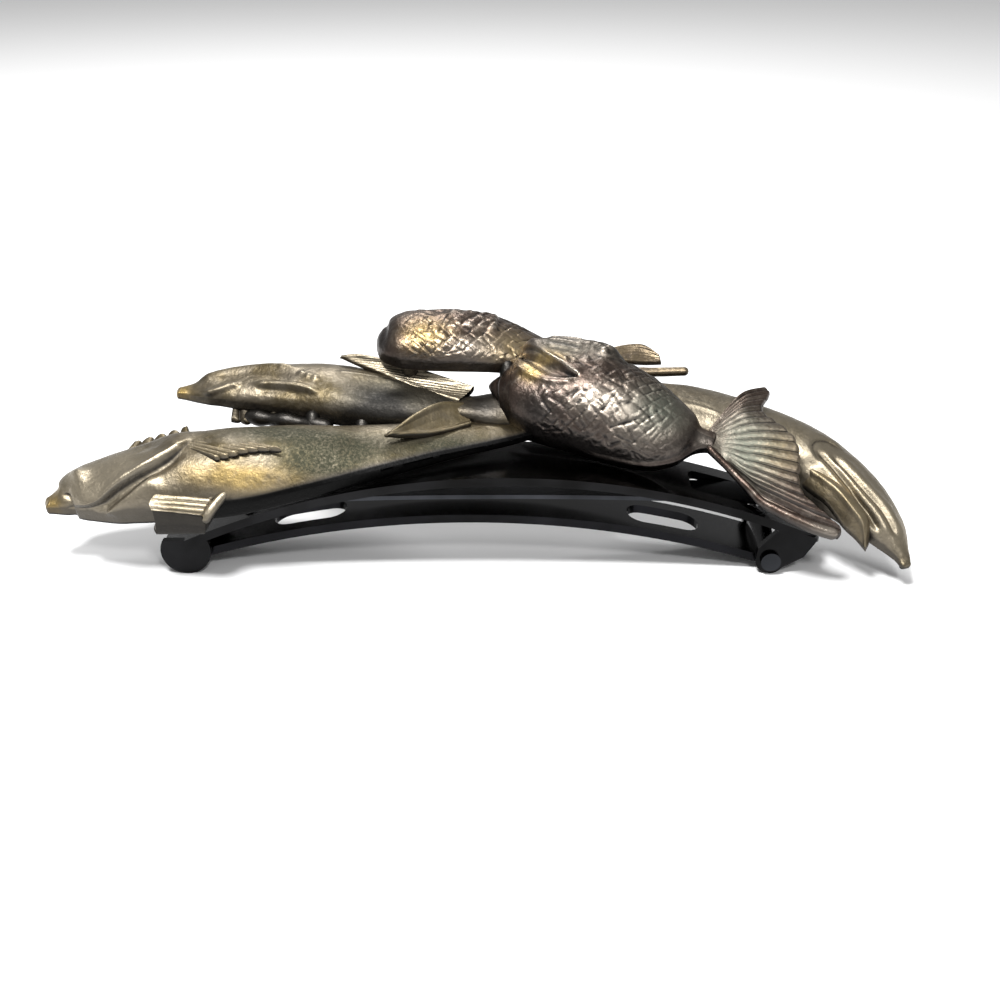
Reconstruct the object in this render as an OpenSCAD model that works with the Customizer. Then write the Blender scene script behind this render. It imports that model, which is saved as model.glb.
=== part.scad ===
// Hair barrette: five cast fish soldered together over an arched spring clip.
// Millimetres. X runs along the clip, Y runs across it and Z is up.
// The origin is on the table, under the middle of the clip.

/* [Clip plate] */
// Width of the top plate
plate_w = 10.4; // [8:0.2:14]
// Thickness of the plate
plate_t = 1; // [0.6:0.1:1.6]
// Radius of the arch, on the top face
plate_r = 90; // [70:1:140]
// Height of the top face at the middle of the arch
plate_top = 12.2; // [9:0.1:16]
// Middle of the arch along the clip
plate_mid = 3; // [-4:0.5:6]
// Left end of the plate, past the catch
plate_x0 = -37; // [-42:0.5:-34]
// Right end of the plate, past the hinge
plate_x1 = 39.5; // [36:0.5:44]
// Radius of the plate's rounded corners
plate_corner = 2.4; // [1:0.1:4]
// Width of the two slots that hold the bow
slot_w = 5.6; // [4:0.1:7]
// Length of the two slots that hold the bow
slot_len = 8.1; // [6:0.1:9]
// Outer end of the slot by the catch
slot_left = -26.5; // [-28:0.1:-24]
// Outer end of the slot by the hinge
slot_right = 32.5; // [31:0.1:33]

/* [Hinge and catch] */
// Distance of the hinge pin from the origin
pin_x = 33.6; // [30:0.2:38]
// Height of the hinge pin above the table
pin_z = 1.7; // [1.4:0.1:3]
// Radius of the hinge pin
pin_r = 0.75; // [0.5:0.05:1]
// Radial clearance of the pin in the ears and the arm
pin_gap = 0.05; // [0.02:0.01:0.1]
// Radius of the riveted heads
rivet_r = 1.15; // [0.9:0.05:1.5]
// Thickness of the riveted heads
rivet_t = 0.5; // [0.3:0.1:0.8]
// Thickness of the ears and prongs
ear_t = 0.9; // [0.6:0.1:1.2]
// Middle of the catch prongs
catch_x = -34; // [-38:0.5:-30]
// Radius of the rounded catch prongs
catch_r = 2.9; // [2:0.1:4]
// Height of the straight top edge of the prongs
catch_top = 4.2; // [3.5:0.1:4.6]

/* [Arm and bow] */
// Width of the arm
arm_w = 8; // [6:0.2:10]
// Thickness of the arm
arm_t = 1; // [0.6:0.1:1.4]
// Radius of the arm's arch, on its top face
arm_r = 111; // [90:1:160]
// Height of the arm's top face at its middle
arm_top = 7; // [5:0.1:9]
// Middle of the arm's arch
arm_mid = -1; // [-4:0.5:4]
// Free end of the arm, between the catch prongs
arm_x0 = -36.5; // [-37:0.1:-34]
// Radius of the arm's knuckle round the pin
knuckle_r = 1.45; // [1.2:0.05:1.6]
// Width of the two slots that lighten the arm
arm_slot_w = 4.4; // [3:0.1:6]
// Length of the two slots that lighten the arm
arm_slot_len = 8.5; // [5:0.1:11]
// Middle of the arm slot by the catch
arm_slot_left = -20; // [-24:0.5:-16]
// Middle of the arm slot by the hinge
arm_slot_right = 21.5; // [18:0.5:25]
// Width of the tension bow
bow_w = 5; // [3:0.1:6]
// Thickness of the tension bow
bow_t = 0.5; // [0.3:0.05:0.8]
// Radius of the tension bow
bow_r = 600; // [300:10:900]
// Height of the bow's top face at its middle
bow_top = 8.8; // [8:0.1:10]
// How far each end of the bow reaches past its slot
bow_lap = 1.7; // [1:0.1:2]

/* [Fish] */
// Wall of the hollow-backed castings
wall = 1.2; // [0.8:0.1:2]
// Thickness of fins and tails at the edge
fin_t = 0.9; // [0.6:0.1:1.4]
// Height of the rays on fins and tails
ray_h = 0.35; // [0:0.05:0.6]
// Height of the scale relief on the two goldfish
scale_h = 0.22; // [0:0.02:0.4]
// Scale rows along a goldfish
scale_rows = 14; // [6:1:18]
// Scale rows across a goldfish
scale_cols = 7; // [4:1:10]
// Height of the gill covers
gill_h = 0.5; // [0:0.05:0.8]
// Lift of the five castings and their solder that keeps them clear of the plate
fish_lift = 0.3; // [0.25:0.05:0.6]

/* [Detail] */
// Sections along a koi
koi_steps = 22; // [12:1:36]
// Sections along a goldfish
gold_steps = 28; // [12:1:44]
// Points across a koi
koi_across = 10; // [6:1:16]
// Points across a goldfish
gold_across = 14; // [8:1:20]
// Sections along a hollow back
hollow_steps = 8; // [4:1:16]

/* [Hidden] */
cast_bronze = [0.55, 0.50, 0.40];
dark_steel = [0.16, 0.17, 0.20];
ear_y = plate_w / 2 - ear_t / 2;
bore_r = pin_r + pin_gap;
through = 30;
away = [1e7, 1e7, 1e7];

// Outline of a hinge ear from the pin's axis: x and height
ear_points = [
    [-1.7, 0], [-1.5, 1.5], [0.6, 3.7], [0.6, 4.6],
    [5.2, 2.8], [5.0, 2.2], [3.8, 0.4], [1.4, -0.95]];

// Height of an arched face of radius r at distance x from its middle
function arc_z(top, r, x) = top - r + sqrt(r * r - x * x);
function plate_z(x) = arc_z(plate_top, plate_r, x - plate_mid);

// Smooth curve through the rows of a table, u runs from 0 to 1
function row(T, i) = T[min(max(i, 0), len(T) - 1)];
function blend(a, b, c, d, t) =
    0.5 * (2 * b + (c - a) * t + (2 * a - 5 * b + 4 * c - d) * t * t
           + (3 * b - a - 3 * c + d) * t * t * t);
function along(T, u) =
    let (s = u * (len(T) - 1), i = min(max(floor(s), 0), len(T) - 2))
    blend(row(T, i - 1), row(T, i), row(T, i + 1), row(T, i + 2), s - i);
function spot(T, u) = let (r = along(T, u)) [r[0], r[1], r[2]];
function unit(v) = v / norm(v);
function smooth(a, b, x) = let (t = min(max((x - a) / (b - a), 0), 1)) t * t * (3 - 2 * t);

// Columns: x, y, z of the back, half width near and far, dome, rim, roll
koi_left_rows = [
    [-49.6, -1.9,  6.3, 1.0, 1.1, 0.6, 1.0,  8],
    [-48.4, -1.5,  6.4, 1.9, 2.1, 1.4, 1.1,  9],
    [-46.6, -0.8,  6.8, 3.6, 3.8, 2.5, 1.2, 10],
    [-42.5, -0.6,  7.3, 4.9, 5.0, 3.3, 1.4, 13],
    [-36.5, -0.7,  8.1, 5.6, 5.8, 4.2, 1.5, 15],
    [-28.5, -0.5,  9.0, 5.9, 6.1, 4.8, 1.6, 15],
    [-20.5,  0.2, 10.6, 5.8, 4.8, 3.3, 1.6, 14],
    [-13.0,  1.4, 11.8, 5.4, 3.2, 1.7, 1.5, 11],
    [ -7.0,  2.6, 12.5, 4.9, 2.6, 1.0, 1.3,  8],
    [ -3.0,  3.4, 12.9, 4.4, 2.8, 0.8, 1.0,  6],
    [  1.5,  4.6, 13.2, 3.9, 3.2, 0.7, 0.9,  5],
    [  5.5,  6.4, 13.5, 3.6, 3.6, 0.5, 0.8,  4]];
koi_back_rows = [
    [-36.7, 12.3, 14.7, 0.9, 0.9, 0.4, 0.8,  0],
    [-35.0, 12.5, 14.6, 1.9, 1.6, 0.9, 0.9,  1],
    [-33.0, 12.7, 14.6, 2.9, 2.4, 1.4, 1.0,  2],
    [-30.0, 13.0, 14.6, 3.8, 3.4, 2.0, 1.0,  4],
    [-24.5, 12.6, 14.5, 4.6, 4.5, 2.8, 1.1,  5],
    [-18.0, 11.2, 14.2, 5.0, 5.0, 3.3, 1.3,  6],
    [-11.5,  9.4, 14.0, 4.7, 4.6, 2.8, 1.4,  6],
    [ -5.0,  8.0, 14.0, 3.6, 3.4, 1.8, 1.3,  5],
    [ -1.0,  7.4, 14.0, 2.9, 2.8, 1.0, 1.1,  4]];
koi_right_rows = [
    [ -3.4,  6.5, 14.6, 1.6, 1.8, 1.0, 1.0,  8],
    [  0.5,  6.9, 14.1, 3.0, 2.5, 1.6, 1.2,  8],
    [  4.5,  7.4, 13.9, 3.5, 3.1, 2.2, 1.2,  7],
    [  9.0,  7.7, 13.8, 3.9, 3.9, 2.6, 1.2,  6],
    [ 16.0,  8.0, 13.2, 4.6, 5.0, 3.3, 1.3,  5],
    [ 24.0,  8.0, 12.8, 4.8, 5.4, 3.2, 1.3,  4],
    [ 31.0,  6.3, 11.1, 4.6, 5.5, 3.6, 1.3,  4],
    [ 37.5,  3.6,  9.1, 4.4, 5.3, 3.5, 1.3,  4],
    [ 42.5, -0.4,  6.6, 4.0, 4.6, 3.1, 1.2,  4],
    [ 46.0, -4.4,  4.4, 2.5, 3.0, 2.0, 1.0,  2],
    [ 47.8, -7.0,  2.7, 1.0, 1.1, 0.6, 0.8,  0],
    [ 48.2, -7.9,  2.2, 0.6, 0.6, 0.3, 0.6,  0]];
gold_front_rows = [
    [  1.1,  8.3, 15.5, 3.0, 3.2, 2.1, 1.1, 32],
    [  2.3,  8.3, 15.4, 4.3, 4.4, 3.1, 1.2, 32],
    [  4.2,  8.3, 15.4, 5.2, 5.3, 4.0, 1.3, 33],
    [  7.0,  7.9, 15.6, 5.7, 6.0, 4.6, 1.4, 34],
    [ 12.0,  6.6, 15.4, 6.2, 6.4, 5.1, 1.4, 34],
    [ 17.0,  5.0, 14.6, 6.3, 5.9, 4.7, 1.4, 33],
    [ 21.0,  3.6, 13.8, 5.8, 4.4, 3.5, 1.3, 31],
    [ 23.8,  2.6, 13.3, 4.2, 2.9, 2.4, 1.2, 29],
    [ 25.4,  2.0, 13.0, 1.8, 1.5, 1.2, 1.0, 27],
    [ 27.2,  1.3, 12.9, 1.2, 1.3, 0.6, 0.9, 26]];
gold_back_rows = [
    [-12.1, 13.8, 20.5, 2.5, 2.3, 1.3, 1.1, 12],
    [-11.3, 13.8, 20.4, 3.7, 3.4, 2.0, 1.2, 12],
    [ -9.8, 13.9, 20.4, 4.6, 4.4, 2.7, 1.3, 13],
    [ -7.4, 14.0, 20.4, 4.9, 4.8, 3.0, 1.3, 14],
    [ -3.0, 14.0, 20.3, 5.0, 5.0, 3.0, 1.3, 14],
    [  1.6, 13.9, 19.9, 4.6, 4.6, 2.5, 1.3, 13],
    [  6.0, 13.6, 18.9, 3.5, 3.6, 1.8, 1.1, 12],
    [ 10.0, 13.3, 18.2, 2.2, 2.3, 1.1, 1.0, 10],
    [ 12.6, 13.2, 17.9, 1.5, 1.6, 0.7, 0.9, 10]];

// Raised cover behind the head, g is 0 at the nose
function gill(g, a, at) =
    gill_h * (1 - smooth(at - 0.012, at + 0.012, g - 0.07 * sin(a))) * smooth(0.02, 0.12, g);

// Overlapping scales that fade out towards the rim and the head
function scales(g, a) =
    let (lengthwise = smooth(0.24, 0.3, g) * (1 - smooth(0.93, 1, g)),
         m = lengthwise * smooth(10, 30, a) * smooth(10, 30, 180 - a))
    scale_h * m * abs(cos(180 * g * scale_rows)) * abs(cos(a * scale_cols));

// One ring of a body, from near to far, moved in by w for the hollow back
function ring(T, u, m, kind, flip, lips, w = 0) =
    let (r = along(T, u),
         g = flip ? 1 - u : u,
         d = unit(spot(T, min(u + 0.01, 1)) - spot(T, max(u - 0.01, 0))),
         a0 = unit(cross([0, 0, 1], d)),
         n0 = cross(d, a0),
         A = a0 * cos(r[7]) + n0 * sin(r[7]),
         N = n0 * cos(r[7]) - a0 * sin(r[7]),
         c = [r[0], r[1], r[2]],
         foot = w > 0 ? -1.5 : 0,
         push = (flip ? 1 : -1) * lips * (1 - smooth(0, 0.09, g)))
    concat(
        [c + A * (w - r[3]) + N * foot + d * push],
        [for (k = [0 : m])
            let (a = 180 * k / m,
                 s = -cos(a) * ((a < 90 ? r[3] : r[4]) - w),
                 lift = w > 0 ? 0 : kind == "koi" ? gill(g, a, 0.2) : gill(g, a, 0.16) + scales(g, a))
            c + A * (s - lift * cos(a) * 0.6) + N * (r[6] + r[5] * sin(a) - w + lift * sin(a))
              + d * push * pow(abs(cos(a)), 1.5)],
        [c + A * (r[4] - w) + N * foot + d * push]);

// Closed skin over a list of rings with the same number of points
module skin(rings) {
    K = len(rings[0]);
    last = len(rings) - 1;
    pts = concat(
        [for (r = rings) for (p = r) p],
        [(rings[0][0] + rings[0][K - 1] + 2 * rings[0][floor(K / 2)]) / 4,
         (rings[last][0] + rings[last][K - 1] + 2 * rings[last][floor(K / 2)]) / 4]);
    side = [for (i = [0 : last - 1]) for (k = [0 : K - 1])
        let (a = i * K + k, b = i * K + (k + 1) % K, c = b + K, d = a + K)
        each [[a, b, c], [a, c, d]]];
    head = [for (k = [0 : K - 1]) [(k + 1) % K, k, len(pts) - 2]];
    tail = [for (k = [0 : K - 1]) [last * K + k, last * K + (k + 1) % K, len(pts) - 1]];
    polyhedron(points = pts, faces = concat(side, head, tail));
}

// Hollow-backed casting swept through the rows of its table
module casting(T, steps, m, kind, flip = false, lips = 0) {
    difference() {
        skin([for (i = [0 : steps]) ring(T, i / steps, m, kind, flip, lips)]);
        skin([for (i = [0 : hollow_steps])
            ring(T, 0.12 + 0.76 * i / hollow_steps, 6, kind, flip, 0, wall)]);
    }
}

// Ribbed sheet between a root line and a curve of tips, both run near to far.
// Its outer edges follow the curves near and far where these are given.
module fan(root, tips, rays, t = fin_t, bulge = 0, steps = 5, rib_h = ray_h, cut = 0.35,
           near = [], far = [], lean = []) {
    n = 2 * rays;
    N = unit(cross(spot(tips, 0.5) - spot(root, 0.5), spot(root, 1) - spot(root, 0)));
    up = len(lean) > 0 ? unit(lean) : N[2] < 0 ? -N : N;
    function bend(side, u) =
        len(side) == 0 ? [0, 0, 0] : spot(side, u) - spot(side, 0) * (1 - u) - spot(side, 1) * u;
    function at(u, v, top) =
        let (span = spot(tips, v) - spot(root, v),
             side = bend(near, u) * pow(1 - v, 2) + bend(far, u) * v * v,
             odd = round(v * n) % 2,
             edge = v == 0 || v == 1,
             rib = rib_h * (edge ? 1 : odd) * smooth(-0.2, 0.5, u),
             notch = u == 1 && odd == 0 && !edge ? cut / norm(span) : 0)
        spot(root, v) + span * (u - notch) + side + up * (bulge * sin(180 * u) + (top ? rib : -t));
    W = n + 1;
    S = steps + 1;
    pts = concat(
        [for (i = [0 : steps]) for (j = [0 : n]) at(i / steps, j / n, true)],
        [for (i = [0 : steps]) for (j = [0 : n]) at(i / steps, j / n, false)]);
    o = W * S;
    flip = N[2] < 0;
    top = [for (i = [0 : steps - 1]) for (j = [0 : n - 1])
        let (a = i * W + j, b = a + 1, c = b + W, d = a + W)
        each [[a, b, c], [a, c, d]]];
    low = [for (f = top) [f[0] + o, f[2] + o, f[1] + o]];
    ends = [for (j = [0 : n - 1]) each
        [[j, j + o, j + 1 + o], [j, j + 1 + o, j + 1],
         [steps * W + j, steps * W + j + 1 + o, steps * W + j + o],
         [steps * W + j, steps * W + j + 1, steps * W + j + 1 + o]]];
    edges = [for (i = [0 : steps - 1]) each
        [[i * W, (i + 1) * W + o, i * W + o], [i * W, (i + 1) * W, (i + 1) * W + o],
         [i * W + n, i * W + n + o, (i + 1) * W + n + o],
         [i * W + n, (i + 1) * W + n + o, (i + 1) * W + n]]];
    all = concat(top, low, ends, edges);
    polyhedron(points = pts, faces = flip ? [for (f = all) [f[0], f[2], f[1]]] : all);
}

// Round bar through the rows of a table: x, y, z, radius
module rod(T, steps = 6, m = 6) {
    skin([for (i = [0 : steps])
        let (u = i / steps,
             d = unit(spot(T, min(u + 0.01, 1)) - spot(T, max(u - 0.01, 0))),
             A = unit(cross([0, 0, 1], d)),
             N = cross(d, A))
        [for (k = [0 : m - 1])
            let (a = 360 * k / m) spot(T, u) + along(T, u)[3] * (N * sin(a) - A * cos(a))]]);
}

module koi_left() {
    casting(koi_left_rows, koi_steps + 2, koi_across, "koi", lips = 0.4);
    // Pectoral fin lying on the flank
    fan([[-33.1, -2.6, 14.5], [-33.7, -0.9, 14.8], [-33.4, 0.8, 14.9]],
        [[-29.6, -4.9, 14.4], [-28.1, -4.8, 14.7], [-26.2, -4.4, 15.1], [-24.3, -4.1, 15.2],
         [-22.2, -4.2, 15.2]],
        6, 1.6, steps = 3);
    // Thick pelvic fin lying in front
    fan([[-36.4, -8.1, 9.0], [-36.9, -7.4, 9.8], [-36.3, -6.2, 10.6], [-35.4, -5.4, 11.0]],
        [[-30.7, -8.8, 9.0], [-30.2, -7.9, 9.8], [-29.6, -6.8, 10.5], [-28.8, -5.6, 11.0]],
        5, 3.4, steps = 3, cut = 0.1, lean = [0, -0.2, 0.98]);
    rod([[-31.1, -7.9, 7.4, 0.9], [-30.2, -7.6, 8.7, 0.8], [-29.2, -6.5, 9.8, 0.8],
         [-28.4, -5.2, 10.5, 0.6]]);
    // Jagged dorsal fin on the far side
    fan([[-43.0, 3.4, 10.2], [-34.0, 4.2, 11.8]],
        [[-41.5, 6.2, 11.6], [-38.4, 6.8, 12.4], [-35.2, 6.8, 13.4]], 5, 1.0, steps = 2, cut = 0.8);
}

module koi_back() {
    casting(koi_back_rows, koi_steps - 4, koi_across, "koi", lips = 0.3);
    // Fin above the near koi
    fan([[-30.2, 10.4, 14.8], [-24.8, 9.8, 15.0]],
        [[-30.2, 7.9, 13.6], [-28.1, 7.3, 13.5], [-26.2, 6.9, 13.8], [-24.4, 6.9, 14.2]],
        4, 1.2, steps = 2);
    // Tail under the crossing tail
    fan([[-3.6, 5.4, 14.8], [-3.6, 9.8, 15.2]],
        [[4.6, 4.6, 14.8], [3.0, 7.6, 15.0], [5.0, 11.2, 15.4]], 4, 1.2, steps = 3);
}

module koi_right() {
    casting(koi_right_rows, koi_steps, koi_across, "koi", flip = true, lips = 0.2);
    // Two leaves of the forked tail, each from its near edge to its far edge
    fan([[-2.7, 6.4, 16.2], [-7.3, 8.4, 16.8], [-11.6, 10.6, 17.9], [-15.4, 12.6, 18.8],
         [-17.0, 13.3, 19.2]],
        [[-0.8, 9.2, 17.0], [-6.2, 10.9, 18.4], [-11.1, 12.4, 19.4], [-14.8, 13.4, 19.9],
         [-17.0, 13.8, 19.6]],
        5, steps = 2, rib_h = 0.15, cut = 0);
    fan([[-1.2, 3.4, 14.3], [-3.5, 2.2, 14.1], [-5.8, 0.9, 14.2], [-8.6, -0.3, 14.7],
         [-10.8, -1.0, 14.9]],
        [[-1.6, 6.6, 16.2], [-4.8, 5.2, 16.9], [-7.6, 2.8, 16.5], [-9.8, 0.3, 15.7],
         [-10.8, -0.5, 15.3]],
        5, steps = 2, rib_h = 0.15, cut = 0);
    // Leaf with the second point of the head's end
    fan([[37.6, -2.2, 9.3], [39.5, -3.8, 7.9], [41.4, -5.4, 5.8], [42.9, -6.4, 4.6],
         [43.9, -7.2, 3.6]],
        [[39.3, -1.4, 12.1], [41.4, -3.4, 10.1], [42.9, -5.0, 8.8], [44.1, -6.3, 7.1],
         [44.2, -7.1, 4.4]],
        5, 1.3, bulge = 0.3, steps = 2, rib_h = 0.1, cut = 0);
}

module goldfish_front() {
    lower_edge = [
        [26.2, -0.3, 13.6, 0.45], [28.7, -2.4, 11.6, 0.45], [30.3, -4.0, 10.4, 0.5],
        [31.9, -5.4, 9.1, 0.55], [33.5, -6.4, 8.5, 0.6], [35.2, -7.2, 7.9, 0.7],
        [37.5, -7.9, 7.1, 0.78], [40.3, -8.2, 6.2, 0.72]];
    casting(gold_front_rows, gold_steps, gold_across, "gold");
    // Fan tail with a thick lower edge
    fan([[26.2, -0.3, 13.6], [26.3, 1.1, 14.1], [26.5, 2.4, 14.4]],
        [[40.3, -8.2, 6.2], [40.6, -8.0, 7.2], [38.6, -7.4, 8.9], [36.7, -6.0, 10.3],
         [36.2, -4.6, 11.6], [36.5, -3.0, 12.8], [36.6, -1.4, 13.9], [36.1, 0.2, 15.0],
         [34.5, 2.0, 15.9], [33.3, 3.2, 16.4], [33.1, 4.6, 16.9], [34.0, 6.2, 17.3],
         [34.4, 7.4, 17.5], [33.9, 8.0, 17.6]],
        13, 1.0, bulge = 0.3, cut = 0.25, near = lower_edge,
        far = [[26.5, 2.4, 14.4], [29.3, 5.2, 16.4], [31.2, 6.6, 17.4], [33.9, 8.0, 17.6]]);
    translate([0, -0.1, -0.12]) rod(lower_edge, 9);
    // Dorsal hump
    rod([[4.6, 9.9, 20.4, 0.8], [8.0, 9.6, 21.1, 1.4], [11.0, 9.2, 21.2, 1.4], [15.5, 8.4, 20.4, 0.8]]);
}

module goldfish_back() {
    casting(gold_back_rows, gold_steps, gold_across, "gold");
    // Leaf and rod of the tail
    fan([[11.0, 12.9, 18.5], [15.1, 13.8, 18.5], [17.7, 14.4, 18.3], [20.2, 15.0, 17.9],
         [22.3, 15.4, 17.8]],
        [[11.0, 14.0, 18.9], [14.7, 15.6, 19.4], [17.5, 16.8, 19.7], [20.0, 17.4, 19.9],
         [22.3, 17.0, 19.4]],
        5, steps = 2, rib_h = 0.15, cut = 0);
    rod([[11.0, 12.9, 18.6, 0.8], [17.0, 13.3, 17.7, 0.62], [21.4, 13.6, 17.5, 0.58],
         [25.5, 13.6, 17.6, 0.55]]);
}

// Long bead of solder between the left and the back koi: x, y, z, radius
solder_bead = [
    [-28.5, 8.4, 13.9, 0.6], [-25.0, 7.3, 13.8, 1.0], [-21.5, 6.4, 13.7, 1.0],
    [-17.5, 5.4, 13.6, 0.9]];

// Solder runs where one casting lies on another, each a row of x, y, z, x, y, z
solder = [
    [-20, 5.0, 12.2, -20, 6.6, 14.6],
    [-14, 4.6, 13.2, -14, 6.3, 14.7],
    [-8, 4.2, 13.6, -8, 6.0, 14.6],
    [2.0, 6.2, 14.7, 1.8, 7.0, 15.8],
    [6, 7.2, 15.8, 6, 9.0, 18.0],
    [12, 9.4, 16.4, 12, 10.6, 18.2],
    [-8.5, 11.2, 18.5, -8.5, 10.0, 20.1],
    [3.2, 7.8, 16.6, 3.2, 9.8, 19.8]];

// Its pieces, each moved by v before they are joined
module moved(v) {
    for (i = [0 : $children - 1]) translate(v) children(i);
}

// Joined far from the origin, where slivers thinner than about 1e-5 mm are dropped
module fish_cluster() {
    color(cast_bronze)
    translate([0, 0, fish_lift])
    translate(-away) moved(away) {
        koi_left();
        koi_back();
        koi_right();
        goldfish_front();
        goldfish_back();
        rod(solder_bead, 5);
        for (s = solder)
            hull() {
                translate([s[0], s[1], s[2]]) sphere(1.1, $fn = 6);
                translate([s[3], s[4], s[5]]) sphere(0.9, $fn = 6);
            }
    }
}

// Strip of an arch, seen along Y and centred across the clip
module arch(r, t, top, mid, x0, x1, w) {
    n = 48;
    xs = [for (i = [0 : n]) x0 + (x1 - x0) * i / n];
    upper = [for (x = xs) [x, arc_z(top, r, x - mid)]];
    lower = [for (i = [n : -1 : 0]) [xs[i], arc_z(top - t, r - t, xs[i] - mid)]];
    rotate([90, 0, 0]) linear_extrude(w, center = true) polygon(concat(upper, lower));
}

// Prism over a flat outline with rounded corners, its left edge at x0
module rounded_bar(x0, x1, w, r) {
    n = 6;
    corners = [[x1 - r, w / 2 - r], [x0 + r, w / 2 - r], [x0 + r, r - w / 2], [x1 - r, r - w / 2]];
    linear_extrude(through)
        polygon([for (q = [0 : 3]) for (k = [0 : n])
            corners[q] + r * [cos(90 * (q + k / n)), sin(90 * (q + k / n))]]);
}

// Upright sheet seen along Y, centred at y across the clip
module upright(y, t) {
    translate([0, y + t / 2, 0]) rotate([90, 0, 0]) linear_extrude(t) children();
}

// Round bar along the hinge's axis
module round_bar(r, w) {
    translate([pin_x, 0, pin_z]) rotate([90, 0, 0]) cylinder(r = r, h = w, center = true, $fn = 64);
}

module hinge_ear(y) {
    upright(y, ear_t) {
        translate([pin_x, pin_z]) circle(pin_z, $fn = 64);
        translate([pin_x, pin_z]) polygon(ear_points);
    }
}

module catch_prong(y) {
    upright(y, ear_t) intersection() {
        translate([catch_x, catch_r]) circle(catch_r, $fn = 64);
        translate([catch_x - catch_r, 0]) square([2 * catch_r, catch_top]);
    }
}

module clip_plate() {
    color(dark_steel)
    difference() {
        union() {
            intersection() {
                arch(plate_r, plate_t, plate_top, plate_mid, plate_x0, plate_x1, plate_w + 2);
                rounded_bar(plate_x0, plate_x1, plate_w, plate_corner);
            }
            for (y = [-ear_y, ear_y]) {
                hinge_ear(y);
                catch_prong(y);
            }
        }
        round_bar(bore_r, through);
        rounded_bar(slot_left, slot_left + slot_len, slot_w, 1.2);
        rounded_bar(slot_right - slot_len, slot_right, slot_w, 1.2);
    }
}

module hinge_pin() {
    color(dark_steel) {
        round_bar(pin_r, plate_w + rivet_t);
        for (side = [-1, 1])
            translate([0, side * (plate_w / 2 + pin_gap + rivet_t / 2), 0]) round_bar(rivet_r, rivet_t);
    }
}

module clip_arm() {
    color(dark_steel)
    difference() {
        union() {
            intersection() {
                arch(arm_r, arm_t, arm_top, arm_mid, arm_x0, pin_x - 1, arm_w + 2);
                rounded_bar(arm_x0, pin_x + arm_w, arm_w, 2);
            }
            round_bar(knuckle_r, arm_w);
        }
        round_bar(bore_r, through);
        for (x = [arm_slot_left, arm_slot_right])
            rounded_bar(x - arm_slot_len / 2, x + arm_slot_len / 2, arm_slot_w, 2);
    }
}

module tension_bow() {
    x0 = slot_left - bow_lap;
    x1 = slot_right + bow_lap;
    color(dark_steel)
    intersection() {
        arch(bow_r, bow_t, bow_top, plate_mid, x0, x1, bow_w + 2);
        rounded_bar(x0, x1, bow_w, 1.5);
    }
}

fish_cluster();
clip_plate();
hinge_pin();
clip_arm();
tension_bow();
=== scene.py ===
import bpy
import numpy as np
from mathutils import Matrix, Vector


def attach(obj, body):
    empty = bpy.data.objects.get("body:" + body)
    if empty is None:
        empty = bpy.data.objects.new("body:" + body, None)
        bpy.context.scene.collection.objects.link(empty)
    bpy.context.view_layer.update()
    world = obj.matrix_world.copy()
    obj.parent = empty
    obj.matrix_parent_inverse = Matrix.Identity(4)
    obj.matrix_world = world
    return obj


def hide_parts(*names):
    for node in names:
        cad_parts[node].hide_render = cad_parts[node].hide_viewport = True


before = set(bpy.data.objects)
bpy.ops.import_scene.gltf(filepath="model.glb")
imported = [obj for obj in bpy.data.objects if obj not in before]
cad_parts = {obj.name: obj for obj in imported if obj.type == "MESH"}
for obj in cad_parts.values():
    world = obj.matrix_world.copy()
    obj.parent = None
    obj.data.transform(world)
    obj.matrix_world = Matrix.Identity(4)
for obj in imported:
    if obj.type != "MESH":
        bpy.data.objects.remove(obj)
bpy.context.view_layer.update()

# Millimetres in the tables and functions, turned into metres when a mesh is made
MM = 0.001
# Lift of the castings and their solder above their tables, as in the CAD
FISH_LIFT = np.array([0.0, 0.0, 0.3])
# Wall of the hollow-backed castings
WALL = 1.2

# Columns: x, y, z of the back, half width near and far, dome, rim, roll
NEAR, FAR, DOME, RIM, ROLL = range(3, 8)
KOI_LEFT = [
    [-49.6, -1.9, 6.3, 1.0, 1.1, 0.6, 1.0, 8],
    [-48.4, -1.5, 6.4, 1.9, 2.1, 1.4, 1.1, 9],
    [-46.6, -0.8, 6.8, 3.6, 3.8, 2.5, 1.2, 10],
    [-42.5, -0.6, 7.3, 4.9, 5.0, 3.3, 1.4, 13],
    [-36.5, -0.7, 8.1, 5.6, 5.8, 4.2, 1.5, 15],
    [-28.5, -0.5, 9.0, 5.9, 6.1, 4.8, 1.6, 15],
    [-20.5, 0.2, 10.6, 5.8, 4.8, 3.3, 1.6, 14],
    [-13.0, 1.4, 11.8, 5.4, 3.2, 1.7, 1.5, 11],
    [-7.0, 2.6, 12.5, 4.9, 2.6, 1.0, 1.3, 8],
    [-3.0, 3.4, 12.9, 4.4, 2.8, 0.8, 1.0, 6],
    [1.5, 4.6, 13.2, 3.9, 3.2, 0.7, 0.9, 5],
    [5.5, 6.4, 13.5, 3.6, 3.6, 0.5, 0.8, 4]]
KOI_BACK = [
    [-36.7, 12.3, 14.7, 0.9, 0.9, 0.4, 0.8, 0],
    [-35.0, 12.5, 14.6, 1.9, 1.6, 0.9, 0.9, 1],
    [-33.0, 12.7, 14.6, 2.9, 2.4, 1.4, 1.0, 2],
    [-30.0, 13.0, 14.6, 3.8, 3.4, 2.0, 1.0, 4],
    [-24.5, 12.6, 14.5, 4.6, 4.5, 2.8, 1.1, 5],
    [-18.0, 11.2, 14.2, 5.0, 5.0, 3.3, 1.3, 6],
    [-11.5, 9.4, 14.0, 4.7, 4.6, 2.8, 1.4, 6],
    [-5.0, 8.0, 14.0, 3.6, 3.4, 1.8, 1.3, 5],
    [-1.0, 7.4, 14.0, 2.9, 2.8, 1.0, 1.1, 4]]
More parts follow.
